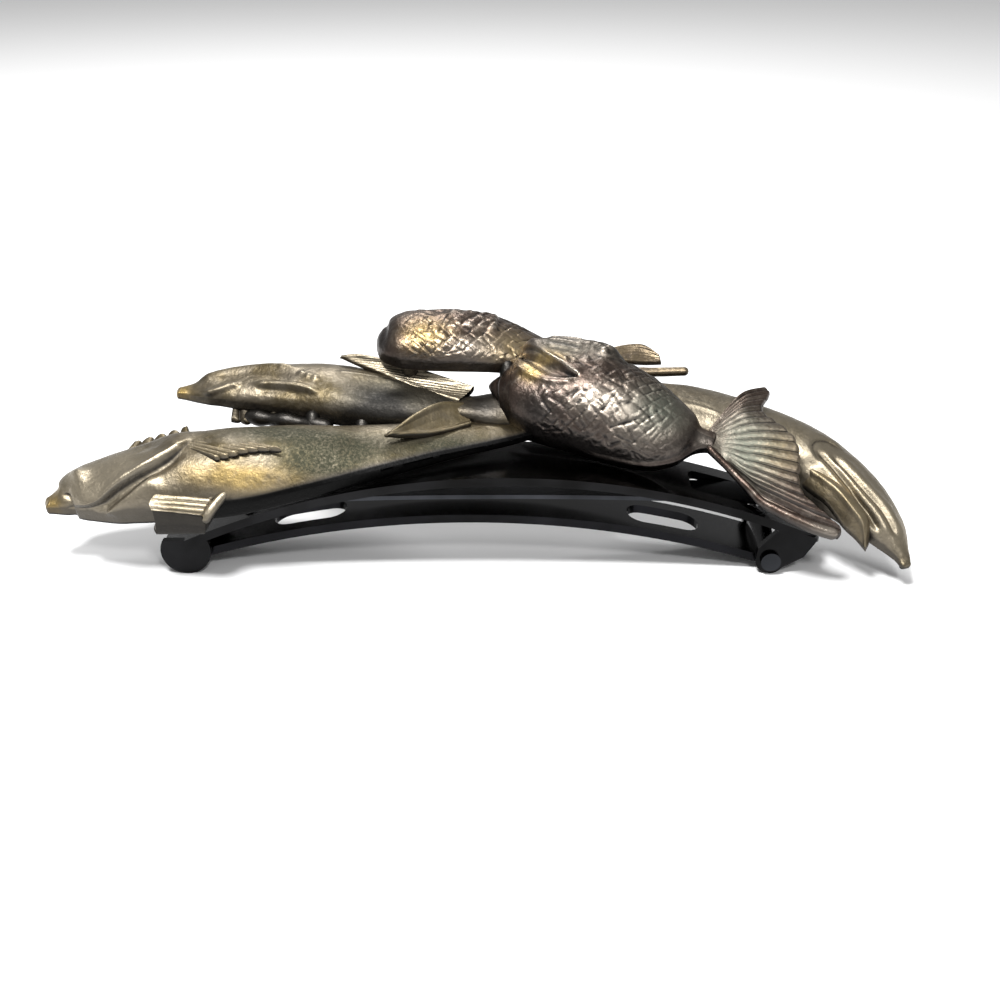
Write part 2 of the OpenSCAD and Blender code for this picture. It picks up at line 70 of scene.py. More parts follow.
KOI_RIGHT = [
    [-3.4, 6.5, 14.6, 1.6, 1.8, 1.0, 1.0, 8],
    [0.5, 6.9, 14.1, 3.0, 2.5, 1.6, 1.2, 8],
    [4.5, 7.4, 13.9, 3.5, 3.1, 2.2, 1.2, 7],
    [9.0, 7.7, 13.8, 3.9, 3.9, 2.6, 1.2, 6],
    [16.0, 8.0, 13.2, 4.6, 5.0, 3.3, 1.3, 5],
    [24.0, 8.0, 12.8, 4.8, 5.4, 3.2, 1.3, 4],
    [31.0, 6.3, 11.1, 4.6, 5.5, 3.6, 1.3, 4],
    [37.5, 3.6, 9.1, 4.4, 5.3, 3.5, 1.3, 4],
    [42.5, -0.4, 6.6, 4.0, 4.6, 3.1, 1.2, 4],
    [46.0, -4.4, 4.4, 2.5, 3.0, 2.0, 1.0, 2],
    [47.8, -7.0, 2.7, 1.0, 1.1, 0.6, 0.8, 0],
    [48.2, -7.9, 2.2, 0.6, 0.6, 0.3, 0.6, 0]]
GOLD_FRONT = [
    [1.3, 9.3, 15.5, 1.8, 2.0, 1.7, 1.1, 32],
    [1.8, 9.2, 15.5, 2.7, 2.8, 2.4, 1.1, 32],
    [2.7, 9.0, 15.4, 3.6, 3.7, 3.2, 1.2, 32],
    [4.4, 8.6, 15.4, 4.6, 4.9, 4.1, 1.3, 33],
    [7.0, 7.9, 15.6, 5.5, 6.0, 4.6, 1.4, 34],
    [12.0, 6.6, 15.4, 6.2, 6.4, 5.1, 1.4, 34],
    [17.0, 5.0, 14.6, 6.3, 5.9, 4.7, 1.4, 33],
    [21.0, 3.6, 13.8, 5.8, 4.4, 3.5, 1.3, 31],
    [23.8, 2.6, 13.3, 4.2, 2.9, 2.4, 1.2, 29],
    [25.4, 2.0, 13.0, 1.8, 1.5, 1.2, 1.0, 27],
    [27.2, 1.3, 12.9, 1.2, 1.3, 0.6, 0.9, 26]]
GOLD_BACK = [
    [-12.1, 13.8, 20.5, 2.5, 2.3, 1.3, 1.1, 12],
    [-11.3, 13.8, 20.4, 3.7, 3.4, 2.0, 1.2, 12],
    [-9.8, 13.9, 20.4, 4.6, 4.4, 2.7, 1.3, 13],
    [-7.4, 14.0, 20.4, 4.9, 4.8, 3.0, 1.3, 14],
    [-3.0, 14.0, 20.3, 5.0, 5.0, 3.0, 1.3, 14],
    [1.6, 13.9, 19.9, 4.6, 4.6, 2.5, 1.3, 13],
    [6.0, 13.6, 18.9, 3.5, 3.6, 1.8, 1.1, 12],
    [10.0, 13.3, 18.2, 2.2, 2.3, 1.1, 1.0, 10],
    [12.6, 13.2, 17.9, 1.5, 1.6, 0.7, 0.9, 10]]

# Solder where one casting lies on another. Columns: x, y, z of the low end and of the high end
SOLDER_RUNS = [
    [-20, 5.0, 12.2, -20, 6.6, 14.6],
    [-14, 4.6, 13.2, -14, 6.3, 14.7],
    [-8, 4.2, 13.6, -8, 6.0, 14.6],
    [2.0, 6.2, 14.7, 1.8, 7.0, 15.8],
    [6, 7.2, 15.8, 6, 9.0, 18.0],
    [12, 9.4, 16.4, 12, 10.6, 18.2],
    [-8.5, 11.2, 18.5, -8.5, 10.0, 20.1],
    [3.2, 7.8, 16.6, 3.2, 9.8, 19.8]]
# Long bead between the left and the back koi. Columns: x, y, z, radius
SOLDER_BEAD = [
    [-28.5, 8.4, 13.9, 0.6], [-26.8, 7.9, 13.8, 1.0], [-25.2, 7.4, 13.8, 0.75],
    [-23.4, 6.9, 13.8, 1.05], [-21.5, 6.4, 13.7, 0.8], [-19.6, 5.9, 13.7, 1.0],
    [-17.5, 5.4, 13.6, 0.8]]

# Factors that scatter whole numbers, so that a chance needs no random state
CELL_FACTORS = (12.9898, 78.233, 37.719)
CELL_SPREAD = 43758.5453


# Curves and noise

def smooth(low, high, x):
    """Goes from 0 at low to 1 at high without a corner."""
    t = np.clip((x - low) / (high - low), 0, 1)
    return t * t * (3 - 2 * t)


def band(x, low, low_full, high_full, high):
    """Is 1 from low_full to high_full and 0 below low and above high."""
    return smooth(low, low_full, x) * (1 - smooth(high_full, high, x))


def unit(v):
    """The vectors at length 1."""
    return v / np.maximum(np.linalg.norm(v, axis=-1, keepdims=True), 1e-9)


def curve(rows, u):
    """Point of the smooth curve through the rows, with u from 0 to 1."""
    rows = np.asarray(rows, float)
    last = len(rows) - 1
    s = np.clip(u, 0, 1) * last
    i = np.minimum(np.floor(s).astype(int), last - 1)
    t = (s - i)[..., None]
    a, b, c, d = [rows[np.clip(i + k, 0, last)] for k in (-1, 0, 1, 2)]
    return 0.5 * (2 * b + (c - a) * t + (2 * a - 5 * b + 4 * c - d) * t ** 2
                  + (3 * b - a - 3 * c + d) * t ** 3)


def end_to_end(rows):
    """Vector from the first row to the last."""
    return curve(rows, np.array(1.0)) - curve(rows, np.array(0.0))


def round_edge(x):
    """Height of a quarter circle over x, from 0 at x = 0 to 1 at x = 1."""
    return np.sqrt(np.maximum(1 - (1 - np.clip(x, 0, 1)) ** 2, 0))


def chance(*cells):
    """A number from 0 to 1 that stays the same for the same whole numbers."""
    mixed = sum(np.asarray(c, float) * k for c, k in zip(cells, CELL_FACTORS))
    return np.mod(np.sin(mixed) * CELL_SPREAD, 1.0)


def lumps(p, size, seed=0.0):
    """Smooth noise from -1 to 1 over points p, with lumps of about that size."""
    q = p / size + seed
    cell = np.floor(q)
    t = q - cell
    t = t * t * (3 - 2 * t)
    total = 0.0
    for dx in (0, 1):
        for dy in (0, 1):
            for dz in (0, 1):
                corner = chance(cell[..., 0] + dx, cell[..., 1] + dy, cell[..., 2] + dz)
                wx = t[..., 0] if dx else 1 - t[..., 0]
                wy = t[..., 1] if dy else 1 - t[..., 1]
                wz = t[..., 2] if dz else 1 - t[..., 2]
                total = total + corner * wx * wy * wz
    return 2 * total - 1


def cast_skin(p):
    """The slight unevenness of a cast surface."""
    # Columns: height, size, seed
    layers = [(0.05, 2.1, 0.0), (0.025, 0.8, 3.1), (0.012, 0.35, 7.7)]
    return sum(height * lumps(p, size, seed) for height, size, seed in layers)


def fin_skin(p, seed=5.0):
    """The slight unevenness of a fin, a leaf or a rod."""
    height = 0.03
    size = 0.9
    return height * lumps(p, size, seed)


# Relief on a casting: g is millimetres from the nose, w is millimetres up from the near rim

def to_path(g, w, points):
    """Distance to a line through points, side of it and place along it from 0 to 1."""
    points = np.asarray(points, float)
    runs = np.linalg.norm(np.diff(points, axis=0), axis=1)
    start = np.concatenate([[0], np.cumsum(runs)])
    best = np.full(g.shape, np.inf)
    side = np.zeros(g.shape)
    place = np.zeros(g.shape)
    for i, run in enumerate(runs):
        ax, ay = points[i]
        dx, dy = (points[i + 1] - points[i]) / run
        t = np.clip((g - ax) * dx + (w - ay) * dy, 0, run)
        away = np.hypot(g - ax - dx * t, w - ay - dy * t)
        nearer = away < best
        best = np.where(nearer, away, best)
        side = np.where(nearer, np.sign((g - ax) * dy - (w - ay) * dx), side)
        place = np.where(nearer, (start[i] + t) / start[-1], place)
    return best, side, place


def ends(place, fade=0.2):
    """Fades a line out at both its ends."""
    return smooth(0, fade, place) * smooth(0, fade, 1 - place)


def round_path(points, steps=24):
    """Points close together on the smooth curve through a few."""
    return curve(points, np.linspace(0, 1, steps))


def shifted(path, along, up):
    """The path moved along the casting and up its side."""
    return [[g + along, w + up] for g, w in path]


def ridge(g, w, points, width, height, fade=0.2):
    """Rounded line along a path, raised, or cut in where its height is negative."""
    away, _, place = to_path(g, w, round_path(points))
    return height * np.exp(-(away / width) ** 2) * ends(place, fade)


def lip(g, w, points, height, reach, fade=0.15, drop=0.12):
    """Raised on the right of the path over a reach, with a short drop on the left."""
    away, side, place = to_path(g, w, round_path(points))
    signed = away * side
    raised = np.exp(-(np.maximum(signed, 0) / reach) ** 2)
    return height * raised * smooth(-drop, drop, signed) * ends(place, fade)


def bump(g, w, at, size, height):
    """Rounded swelling at a place, or a dent where its height is negative."""
    return height * np.exp(-((g - at[0]) / size[0]) ** 2 - ((w - at[1]) / size[1]) ** 2)


def strokes(g, w, pitch, width, seed):
    """Short straight cuts scattered over the surface, each at its own slant and depth."""
    inset = 0.2
    room = 0.6
    rising = 0.8
    falling = -0.7
    lean_spread = 0.9
    shortest = 0.35
    half_spread = 0.4
    p = g / pitch
    q = w / pitch
    total = np.zeros(g.shape)
    for di in (-1, 0, 1):
        for dj in (-1, 0, 1):
            i = np.floor(p) + di
            j = np.floor(q) + dj
            x = i + inset + room * chance(i, j, seed)
            y = j + inset + room * chance(i, j, seed + 1)
            lean = np.where(chance(i, j, seed + 2) < 0.5, rising, falling)
            lean = lean + lean_spread * (chance(i, j, seed + 3) - 0.5)
            half = shortest + half_spread * chance(i, j, seed + 4)
            along = (p - x) * np.cos(lean) + (q - y) * np.sin(lean)
            aside = (q - y) * np.cos(lean) - (p - x) * np.sin(lean)
            past = np.maximum(np.abs(along) - half, 0)
            away = np.hypot(past, aside) * pitch
            total = total - chance(i, j, seed + 5) * np.exp(-(away / width) ** 2)
    return total


def scale_relief(g, w, height, mask, pitch=1.5):
    """Uneven lozenge scales, each tilted its own way, with stray cuts across them."""
    bend = 0.35
    one_way = (0.7, 0.85)
    other_way = (0.9, -0.62)
    border = 0.2
    flattest = 0.2
    least_left = 0.35
    tilt_share = 1.5
    cut_share = 0.9
    flat = np.stack([g, w, np.zeros(g.shape)], axis=-1)
    wave = bend * lumps(flat, 3.4, 1.5)
    weave = bend * lumps(flat, 3.0, 8.5)
    p = (g * one_way[0] + w * one_way[1]) / pitch + wave
    q = (g * other_way[0] + w * other_way[1]) / pitch + weave
    ip = np.floor(p)
    iq = np.floor(q)
    fp = p - ip
    fq = q - iq
    edge = np.minimum(np.minimum(fp, 1 - fp), np.minimum(fq, 1 - fq))
    pillow = smooth(0, border, edge) * (flattest + (1 - flattest) * chance(ip, iq))
    tilt = (fp - 0.5) * (chance(ip, iq, 1) - 0.35) + (fq - 0.5) * (chance(ip, iq, 2) - 0.65)
    cuts = strokes(g, w, pitch * 1.1, 0.14, 3.0) + strokes(g, w, pitch * 1.5, 0.18, 11.0)
    worn = least_left + (1 - least_left) * smooth(-0.4, 0.3, lumps(flat, 3.4, 4.0))
    return height * mask * (worn * pillow + tilt_share * tilt + cut_share * cuts)


def off_rims(across):
    """Keeps the scales off both rims of a goldfish."""
    return smooth(0.04, 0.13, across) * smooth(0.0, 0.12, 1 - across)


def koi_left_relief(g, w, across, p):
    """Eye, mouth, gill cover with its rolled edge, the plate behind it and a fold on the flank."""
    cover = [[17.8, 11.4], [17.0, 9.6], [15.9, 8.5], [13.9, 7.0], [11.3, 5.4], [9.2, 3.9],
             [7.2, 2.3], [5.2, 1.4], [2.6, 1.0]]
    plate = [[7.2, -0.4], [8.2, 1.0], [10.7, 3.2], [12.7, 5.2], [14.4, 6.3]]
    mouth = [[1.9, -0.4], [2.1, 1.2], [1.9, 3.0]]
    fold = [[18.0, 9.6], [24.0, 8.6], [31.0, 7.2], [38.0, 5.6]]
    eye = (4.2, 5.9)
    shoulder = (15.2, 12.4)
    cheek_dent = (12.5, 10.6)
    h = cast_skin(p)
    h = h + lip(g, w, cover, height=0.6, reach=2.8, fade=0.16, drop=0.3)
    h = h + ridge(g, w, shifted(cover[1:7], -0.3, 0.4), width=0.5, height=0.25, fade=0.3)
    h = h + ridge(g, w, shifted(cover[1:8], 0.45, -0.5), width=0.65, height=-0.4)
    h = h + bump(g, w, shoulder, size=(2.6, 2.8), height=0.5)
    h = h + lip(g, w, plate, height=0.4, reach=2.2, fade=0.2, drop=0.2)
    h = h + bump(g, w, cheek_dent, size=(2.0, 1.5), height=-0.25)
    h = h + bump(g, w, eye, size=(1.15, 1.15), height=0.75)
    h = h + ridge(g, w, mouth, width=0.4, height=-0.4)
    h = h + ridge(g, w, fold, width=1.3, height=0.2)
    return h


def koi_back_relief(g, w, across, p):
    """Brow and gill ridges, the trough between them and the dent before the tail."""
    brow = [[1.6, 3.2], [4.2, 5.6], [8.0, 7.2], [13.0, 7.6], [15.0, 6.8]]
    jaw = [[2.6, 0.7], [4.2, 1.7], [6.2, 3.0], [8.0, 3.6]]
    gill = [[9.0, 3.6], [12.5, 4.1], [16.0, 4.2], [19.0, 3.6]]
    trough = [[3.4, 3.2], [7.0, 5.2], [11.0, 5.7], [15.0, 5.3]]
    crease = [[9.6, 2.8], [13.0, 3.1], [17.0, 2.9]]
    beads = [(15.3, 6.6), (16.3, 6.3), (17.3, 6.1)]
    tail_dent = (25.5, 5.6)
    crest = [[19.0, 7.6], [24.0, 7.8], [28.0, 7.0]]
    h = cast_skin(p)
    h = h + ridge(g, w, brow, width=0.75, height=0.55)
    h = h + ridge(g, w, jaw, width=0.5, height=0.4)
    h = h + ridge(g, w, gill, width=0.55, height=0.45)
    h = h + ridge(g, w, trough, width=0.9, height=-0.25)
    h = h + ridge(g, w, crease, width=0.7, height=-0.15)
    for bead in beads:
        h = h + bump(g, w, bead, size=(0.45, 0.45), height=0.25)
    h = h + bump(g, w, tail_dent, size=(3.2, 1.5), height=-0.7)
    h = h + ridge(g, w, crest, width=0.6, height=0.25)
    return h


def koi_right_relief(g, w, across, p):
    """Two creases between the long blades of the head end, and worn lines on the back."""
    outer = [[16.2, 6.0], [13.4, 5.6], [10.2, 4.6], [8.0, 3.6], [6.0, 2.7], [3.9, 1.2]]
    inner = [[14.6, 7.0], [12.0, 6.6], [8.6, 5.6], [6.2, 4.8], [4.2, 3.6], [2.4, 2.2]]
    cover = [[14.6, 4.6], [16.4, 5.6], [16.8, 7.0], [15.8, 8.6], [13.6, 9.2]]
    low_line = [[33.5, 5.4], [30.5, 5.3], [27.5, 5.0]]
    high_line = [[34.5, 6.4], [31.0, 6.3], [28.0, 6.0]]
    h = cast_skin(p)
    h = h + ridge(g, w, outer, width=0.45, height=-0.45, fade=0.12)
    h = h + ridge(g, w, shifted(outer, -0.2, -1.0), width=0.6, height=0.2)
    h = h + ridge(g, w, inner, width=0.42, height=-0.38, fade=0.12)
    h = h + ridge(g, w, shifted(inner, 0, -0.9), width=0.55, height=0.18)
    h = h + ridge(g, w, shifted(inner, 0, 0.9), width=0.6, height=0.16)
    h = h + lip(g, w, cover, height=0.3, reach=2.0, fade=0.2, drop=0.2)
    h = h + ridge(g, w, low_line, width=0.3, height=0.16)
    h = h + ridge(g, w, high_line, width=0.4, height=0.1)
    return h


def gold_front_relief(g, w, across, p):
    """Almond hollow over the gill, cut scales, dorsal lines and the flange along the belly."""
    almond = [[3.4, 12.6], [4.8, 11.8], [6.4, 11.0], [8.2, 10.4], [10.4, 10.2]]
    almond_half = 1.25
    almond_depth = 0.55
    rim = [[11.2, 10.2], [10.0, 10.6], [8.7, 11.4], [7.2, 12.2], [5.5, 13.2], [4.1, 13.8],
           [2.6, 13.6]]
    cheek = [[3.6, 9.9], [5.6, 9.0], [8.0, 8.8], [10.8, 9.4]]
    hump = [[3.0, 13.6], [4.6, 14.7], [6.6, 15.5], [9.0, 16.0], [12.0, 15.7], [15.0, 15.0]]
    dorsal_line = [[6.2, 14.0], [8.2, 14.4], [10.4, 14.2]]
    flange_height = 0.3
    flange_width = 0.5
    away, _, place = to_path(g, w, round_path(almond))
    off_almond = smooth(1.3, 2.2, away)
    off_hump = 1 - smooth(12.6, 13.6, w) * (1 - smooth(9.5, 11.5, g))
    mask = band(g, 5.2, 8.5, 19, 24) * off_rims(across)
    h = scale_relief(g, w, height=0.16, mask=mask * (off_almond * off_hump))
    h = h + cast_skin(p)
    half = almond_half * np.sqrt(np.clip(np.sin(np.pi * np.clip(place, 0.02, 0.98)), 0, 1))
    h = h - almond_depth * (1 - smooth(0.1, 1.1, away / np.maximum(half, 0.05)))
    h = h + lip(g, w, rim, height=0.35, reach=1.3, fade=0.1, drop=0.2)
    h = h + ridge(g, w, cheek, width=0.5, height=0.25, fade=0.15)
    h = h + ridge(g, w, hump, width=1.6, height=1.5)
    for rise in (0.0, 0.7, 1.4):
        h = h + ridge(g, w, shifted(dorsal_line, 0, rise), width=0.24, height=0.2)
    flange = flange_height * np.exp(-(w / flange_width) ** 2)
    h = h + flange * smooth(12, 15, g) * (1 - smooth(25, 27, g))
    return h


def gold_back_relief(g, w, across, p):
    """Folded dorsal fin and cut scales of the goldfish behind."""
    fin_height = 0.5
    mask = band(g, 2.2, 4.6, 16, 20) * off_rims(across)
    h = scale_relief(g, w, height=0.13, mask=mask)
    h = h + cast_skin(p)
    fin = band(g, 7.0, 9.0, 13.2, 13.8) * smooth(5.6, 6.6, w) * (1 - smooth(9.5, 10.5, w))
    h = h + fin_height * fin
    return h


# Surface of a casting

def spine(rows, u):
    """Row, direction, across and up at each place along a casting."""
    step = 0.01
    r = curve(rows, u)
    ahead = curve(rows, np.minimum(u + step, 1))[..., :3]
    behind = curve(rows, np.maximum(u - step, 0))[..., :3]
    d = unit(ahead - behind)
    a0 = unit(np.cross([0.0, 0.0, 1.0], d))
    n0 = np.cross(d, a0)
    roll = np.radians(r[..., ROLL:ROLL + 1])
    across = a0 * np.cos(roll) + n0 * np.sin(roll)
    up = n0 * np.cos(roll) - a0 * np.sin(roll)
    return r, d, across, up


# Kinds of point round a section
TOP, SIDE, UNDER = range(3)


def section(r, hollow, count, crowns):
    """Closed cross-section as across and height, with its angle and its kind."""
    near, far, dome, rim = r[NEAR:ROLL]
    bevel = 0.22
    foot = (0.05, 0.12)
    rim_steps = 5
    under_count = 17
    a = np.linspace(0, 180, count)
    half = np.where(a < 90, near, far)
    crown = np.where(a < 90, crowns[0], crowns[1])
    s = -np.cos(np.radians(a)) * half
    h = rim + dome * np.sin(np.radians(a)) ** crown
    rise = np.linspace(0, 1, rim_steps)[1:-1]
    low = [[-near + bevel, 0, 0, SIDE], [-near + foot[0], foot[1], 0, SIDE],
           [-near, bevel, 0, SIDE]]
    low += [[-near, bevel + (rim - bevel) * k, 0, SIDE - k] for k in rise]
    top = [[x, y, k, TOP] for x, y, k in zip(s, h, a)]
    high = [[far, q[1], 180, q[3]] for q in reversed(low[2:])]
    high += [[far - foot[0], foot[1], 180, SIDE], [far - bevel, 0, 180, SIDE]]
    b = np.linspace(180, 0, under_count)
    inner_half = np.where(b < 90, near, far) - WALL
    inner_s = -np.cos(np.radians(b)) * inner_half
    crown = np.where(b < 90, crowns[0], crowns[1])
    inner_h = hollow * np.maximum(rim + dome * np.sin(np.radians(b)) ** crown - WALL, 0)
    under = [[x, y, k, UNDER] for x, y, k in zip(inner_s, inner_h, b)]
    return np.array(low + top + high + under)


def round_crowns(g):
    """Plain round domes on both flanks."""
    return np.ones((len(g), 2))


def koi_left_crowns(g):
    """The near flank of the left koi grows flatter, with a sharp lower edge, towards the tail."""
    near = 1 + 0.75 * smooth(16, 26, g)
    return np.stack([near, np.ones(len(g))], axis=-1)


def casting(rows, rings, count, relief, nose_last=False, lips=0.0, lip_reach=0.09,
            caps=(0.6, 0.6), slope=0, crowns=round_crowns):
    """Points and marks of a hollow-backed casting, closed by a round cap at each end."""
    cap_steps = 15
    solid_end = 0.08
    hollow_full = 0.16
    lip_bend = 1.5
    cap_middle = 0.4
    cap_push = 0.55
    side_loss = 0.6
    turn = np.linspace(0, 1, cap_steps)[1:]
    along = [(0.0, q) for q in turn[::-1]] + [(u, 0.0) for u in np.linspace(0, 1, rings)]
    along += [(1.0, q) for q in turn]
    u = np.array([k[0] for k in along])
    first = np.radians(np.where(u < 0.5, slope, 0))
    cap = first + (np.pi / 2 - first) * np.array([k[1] for k in along])
    r, d, across, up = spine(rows, u)
    hollow = smooth(solid_end, hollow_full, u) * smooth(solid_end, hollow_full, 1 - u)
    g_end = np.concatenate([[0], np.cumsum(np.linalg.norm(np.diff(r[:, :3], axis=0), axis=1))])
    g = g_end[-1] - g_end if nose_last else g_end
    crown = crowns(g)
    parts = np.array([section(r[i], hollow[i], count, crown[i]) for i in range(len(u))])
    s, h, angle, kind = [parts[..., k] for k in range(4)]
    nose_share = 1 - smooth(0, lip_reach, 1 - u if nose_last else u)
    push = (1 if nose_last else -1) * lips * nose_share
    lift = push[:, None] * np.abs(np.cos(np.radians(angle))) ** lip_bend
    middle = cap_middle * (r[:, DOME] + r[:, RIM])
    shrink = (np.cos(cap) / np.cos(first))[:, None]
    reach = (np.sin(cap) - np.sin(first)) / (1 - np.sin(first))
    out = reach * np.where(u < 0.5, -caps[0], caps[1])
    s = s * shrink
    h = middle[:, None] + (h - middle[:, None]) * shrink
    forward = lift * shrink + cap_push * push[:, None] * (1 - shrink) + out[:, None]
    pts = (r[:, None, :3] + across[:, None] * s[..., None] + up[:, None] * h[..., None]
           + d[:, None] * forward[..., None])
    normal = grid_normals(pts)
    outside = np.where(kind < UNDER, 1.0, 0.0)
    fraction = angle / 180
    mean_half = 0.5 * (r[:, NEAR] + r[:, FAR])[:, None]
    w = np.radians(angle) * mean_half
    gg = np.broadcast_to(g[:, None], w.shape)
    height = relief(gg, w, fraction, pts)
    blend = np.where(kind > SIDE, 0.0, 1 - side_loss * np.clip(kind, 0, 1))
    pts = pts + normal * (height * blend * outside)[..., None]
    return {"grid": pts, "cavity": height - soften(height, 5), "side": np.clip(kind, 0, 1),
            "under": (kind > SIDE) * 1.0, "g": gg, "w": w, "across": fraction}


def soften(values, times):
    """The values averaged with their neighbours a number of times."""
    for _ in range(times):
        padded = np.pad(values, 1, mode="edge")
        values = (padded[:-2, 1:-1] + padded[2:, 1:-1] + padded[1:-1, :-2] + padded[1:-1, 2:]
                  + 2 * values) / 6
    return values


def grid_normals(pts):
    """Outward direction at each point of a grid that is closed round its columns."""
    along = np.gradient(pts, axis=0)
    around = np.roll(pts, -1, axis=1) - np.roll(pts, 1, axis=1)
    return unit(np.cross(along, around))


def grid_faces(rows, columns):
    """Quads of a grid that is closed round its columns."""
    i, k = np.meshgrid(np.arange(rows - 1), np.arange(columns), indexing="ij")
    a = i * columns + k
    b = i * columns + (k + 1) % columns
    return np.stack([a, a + columns, b + columns, b], axis=-1).reshape(-1, 4)


# Surface of a fin, a leaf or a rod

def fan(root, tips, rays, thick, bulge=0.0, ray_height=0.3, notch=0.35, lengthwise=60,
        outer=1.0, fine=0.0, sides=(None, None), up=None, per_ray=12, ray_start=-0.1):
    """Ribbed sheet between a root line and a curve of tips, both run from near to far."""
    tip_crowding = 1.25
    ray_roundness = 0.55
    ray_base = 0.35
    ray_grow = 0.6
    fine_per_ray = 3
    rim_share = 0.05
    rim_height = 0.25
    edge_radius = 0.5
    thinning = 0.25
    v = np.linspace(0, 1, rays * per_ray + 1)
    u = 1 - (1 - np.linspace(0, 1, lengthwise)) ** tip_crowding
    uu, vv = np.meshgrid(u, v, indexing="ij")
    base = curve(root, vv)
    tip = curve(tips, vv)
    reach = np.linalg.norm(tip - base, axis=-1)
    phase = vv * rays
    crest = np.abs(np.sin(np.pi * phase)) ** ray_roundness
    stop = 1 - notch * (1 - crest) * smooth(0.03, 0.12, vv) * smooth(0.03, 0.12, 1 - vv) / reach
    place = base + (tip - base) * (uu * stop)[..., None]
    normal = fan_up(root, tips) if up is None else unit(np.array(up, float))
    for side, weight in zip(sides, ((1 - vv) ** 2, vv ** 2)):
        if side is not None:
            straight = np.array(side[0]) + (np.array(side[-1]) - np.array(side[0])) * uu[..., None]
            place = place + (curve(side, uu) - straight) * weight[..., None]
    place = place + normal * (bulge * np.sin(np.pi * uu))[..., None]
    grow = smooth(ray_start, ray_start + ray_grow, uu)
    ray = ray_height * grow * (crest - ray_base)
    ray = ray + fine * np.abs(np.sin(np.pi * phase * fine_per_ray)) * smooth(0.4, 0.8, uu)
    rim = np.maximum(np.exp(-(vv / rim_share) ** 2), np.exp(-((1 - vv) / rim_share) ** 2))
    ray = ray + rim_height * outer * rim * grow
    to_side = np.minimum(vv, 1 - vv) * np.linalg.norm(end_to_end(tips))
    to_tip = (1 - uu) * reach
    full = round_edge(np.minimum(to_side, to_tip) / edge_radius)
    thin = 1 - thinning * uu
    middle = place - normal * (thick / 2)
    top = middle + normal * (full * (thick * thin / 2 + ray + fin_skin(place)))[..., None]
    low = middle - normal * (full * thick * thin / 2)[..., None]
    return {"top": top, "low": low, "cavity": ray - soften(ray, 6), "v": vv}


def fan_up(root, tips):
    """Upward direction in the middle of a fan."""
    mid = np.array(0.5)
    n = unit(np.cross(curve(tips, mid) - curve(root, mid), end_to_end(root)))
    return -n if n[2] < 0 else n


def blade(near, far, thick, hollow=0.0, rims=(0.0, 0.0), rim_width=0.5, lines=0,
          line_height=0.0, slant=0.0):
    """Leaf-shaped sheet between two edges that both run from root to tip."""
    lengthwise = 90
    crosswise = 44
    line_roundness = 0.6
    line_base = 0.4
    tt, vv = np.meshgrid(np.linspace(0, 1, lengthwise), np.linspace(0, 1, crosswise),
                         indexing="ij")
    a = curve(near, tt)
    b = curve(far, tt)
    place = a + (b - a) * vv[..., None]
    width = np.linalg.norm(b - a, axis=-1)
    normal = unit(np.cross(np.gradient(place, axis=0), np.gradient(place, axis=1)))
    normal = np.where(normal[..., 2:3] < 0, -normal, normal)
    run = np.linalg.norm(end_to_end(near))
    near_side = vv * width
    far_side = (1 - vv) * width
    edge = np.minimum(np.minimum(near_side, far_side), (1 - tt) * run) / (0.5 * thick)
    full = round_edge(edge)
    lift = -hollow * np.sin(np.pi * vv) * smooth(0, 0.3, 1 - tt)
    lift = lift + rims[0] * np.exp(-((near_side - rim_width) / rim_width) ** 2)
    lift = lift + rims[1] * np.exp(-((far_side - rim_width) / rim_width) ** 2)
    if lines:
        wave = np.abs(np.sin(np.pi * (vv * lines + slant * tt)))
        line = line_height * (wave ** line_roundness - line_base)
        lift = lift + line * smooth(0, 0.15, vv) * smooth(0, 0.15, 1 - vv)
    lift = lift + fin_skin(place)
    top = place + normal * (full * (thick / 2 + lift))[..., None]
    low = place - normal * (full * thick / 2)[..., None]
    return {"top": top, "low": low, "cavity": lift - soften(lift, 6)}


def rod(rows, count=24, steps=70):
    """Round bar with rounded ends through rows of x, y, z and radius."""
    least_radius = 0.05
    t = np.linspace(0, 1, steps)
    p = curve(rows, t)[:, :3]
    run = np.concatenate([[0], np.cumsum(np.linalg.norm(np.diff(p, axis=0), axis=1))])
    d = unit(np.gradient(p, axis=0))
    side = unit(np.cross([0.0, 0.0, 1.0], d))
    up = np.cross(d, side)
    r = curve(rows, t)[:, 3]
    end = np.clip(np.minimum(run, run[-1] - run) / np.maximum(r, least_radius), 0, 1)
    r = r * round_edge(end)
    turn = np.linspace(0, 2 * np.pi, count, endpoint=False)
    grid = (p[:, None] + side[:, None] * (np.cos(turn)[None, :] * r[:, None])[..., None]
            + up[:, None] * (np.sin(turn)[None, :] * r[:, None])[..., None])
    uneven = fin_skin(grid, 2.0) * end[:, None]
    return grid + unit(grid - p[:, None]) * uneven[..., None]


def sheet_faces(rows, columns):
    """Quads of an open grid."""
    i, k = np.meshgrid(np.arange(rows - 1), np.arange(columns - 1), indexing="ij")
    a = i * columns + k
    return np.stack([a, a + 1, a + columns + 1, a + columns], axis=-1).reshape(-1, 4)


# One mesh out of several surfaces

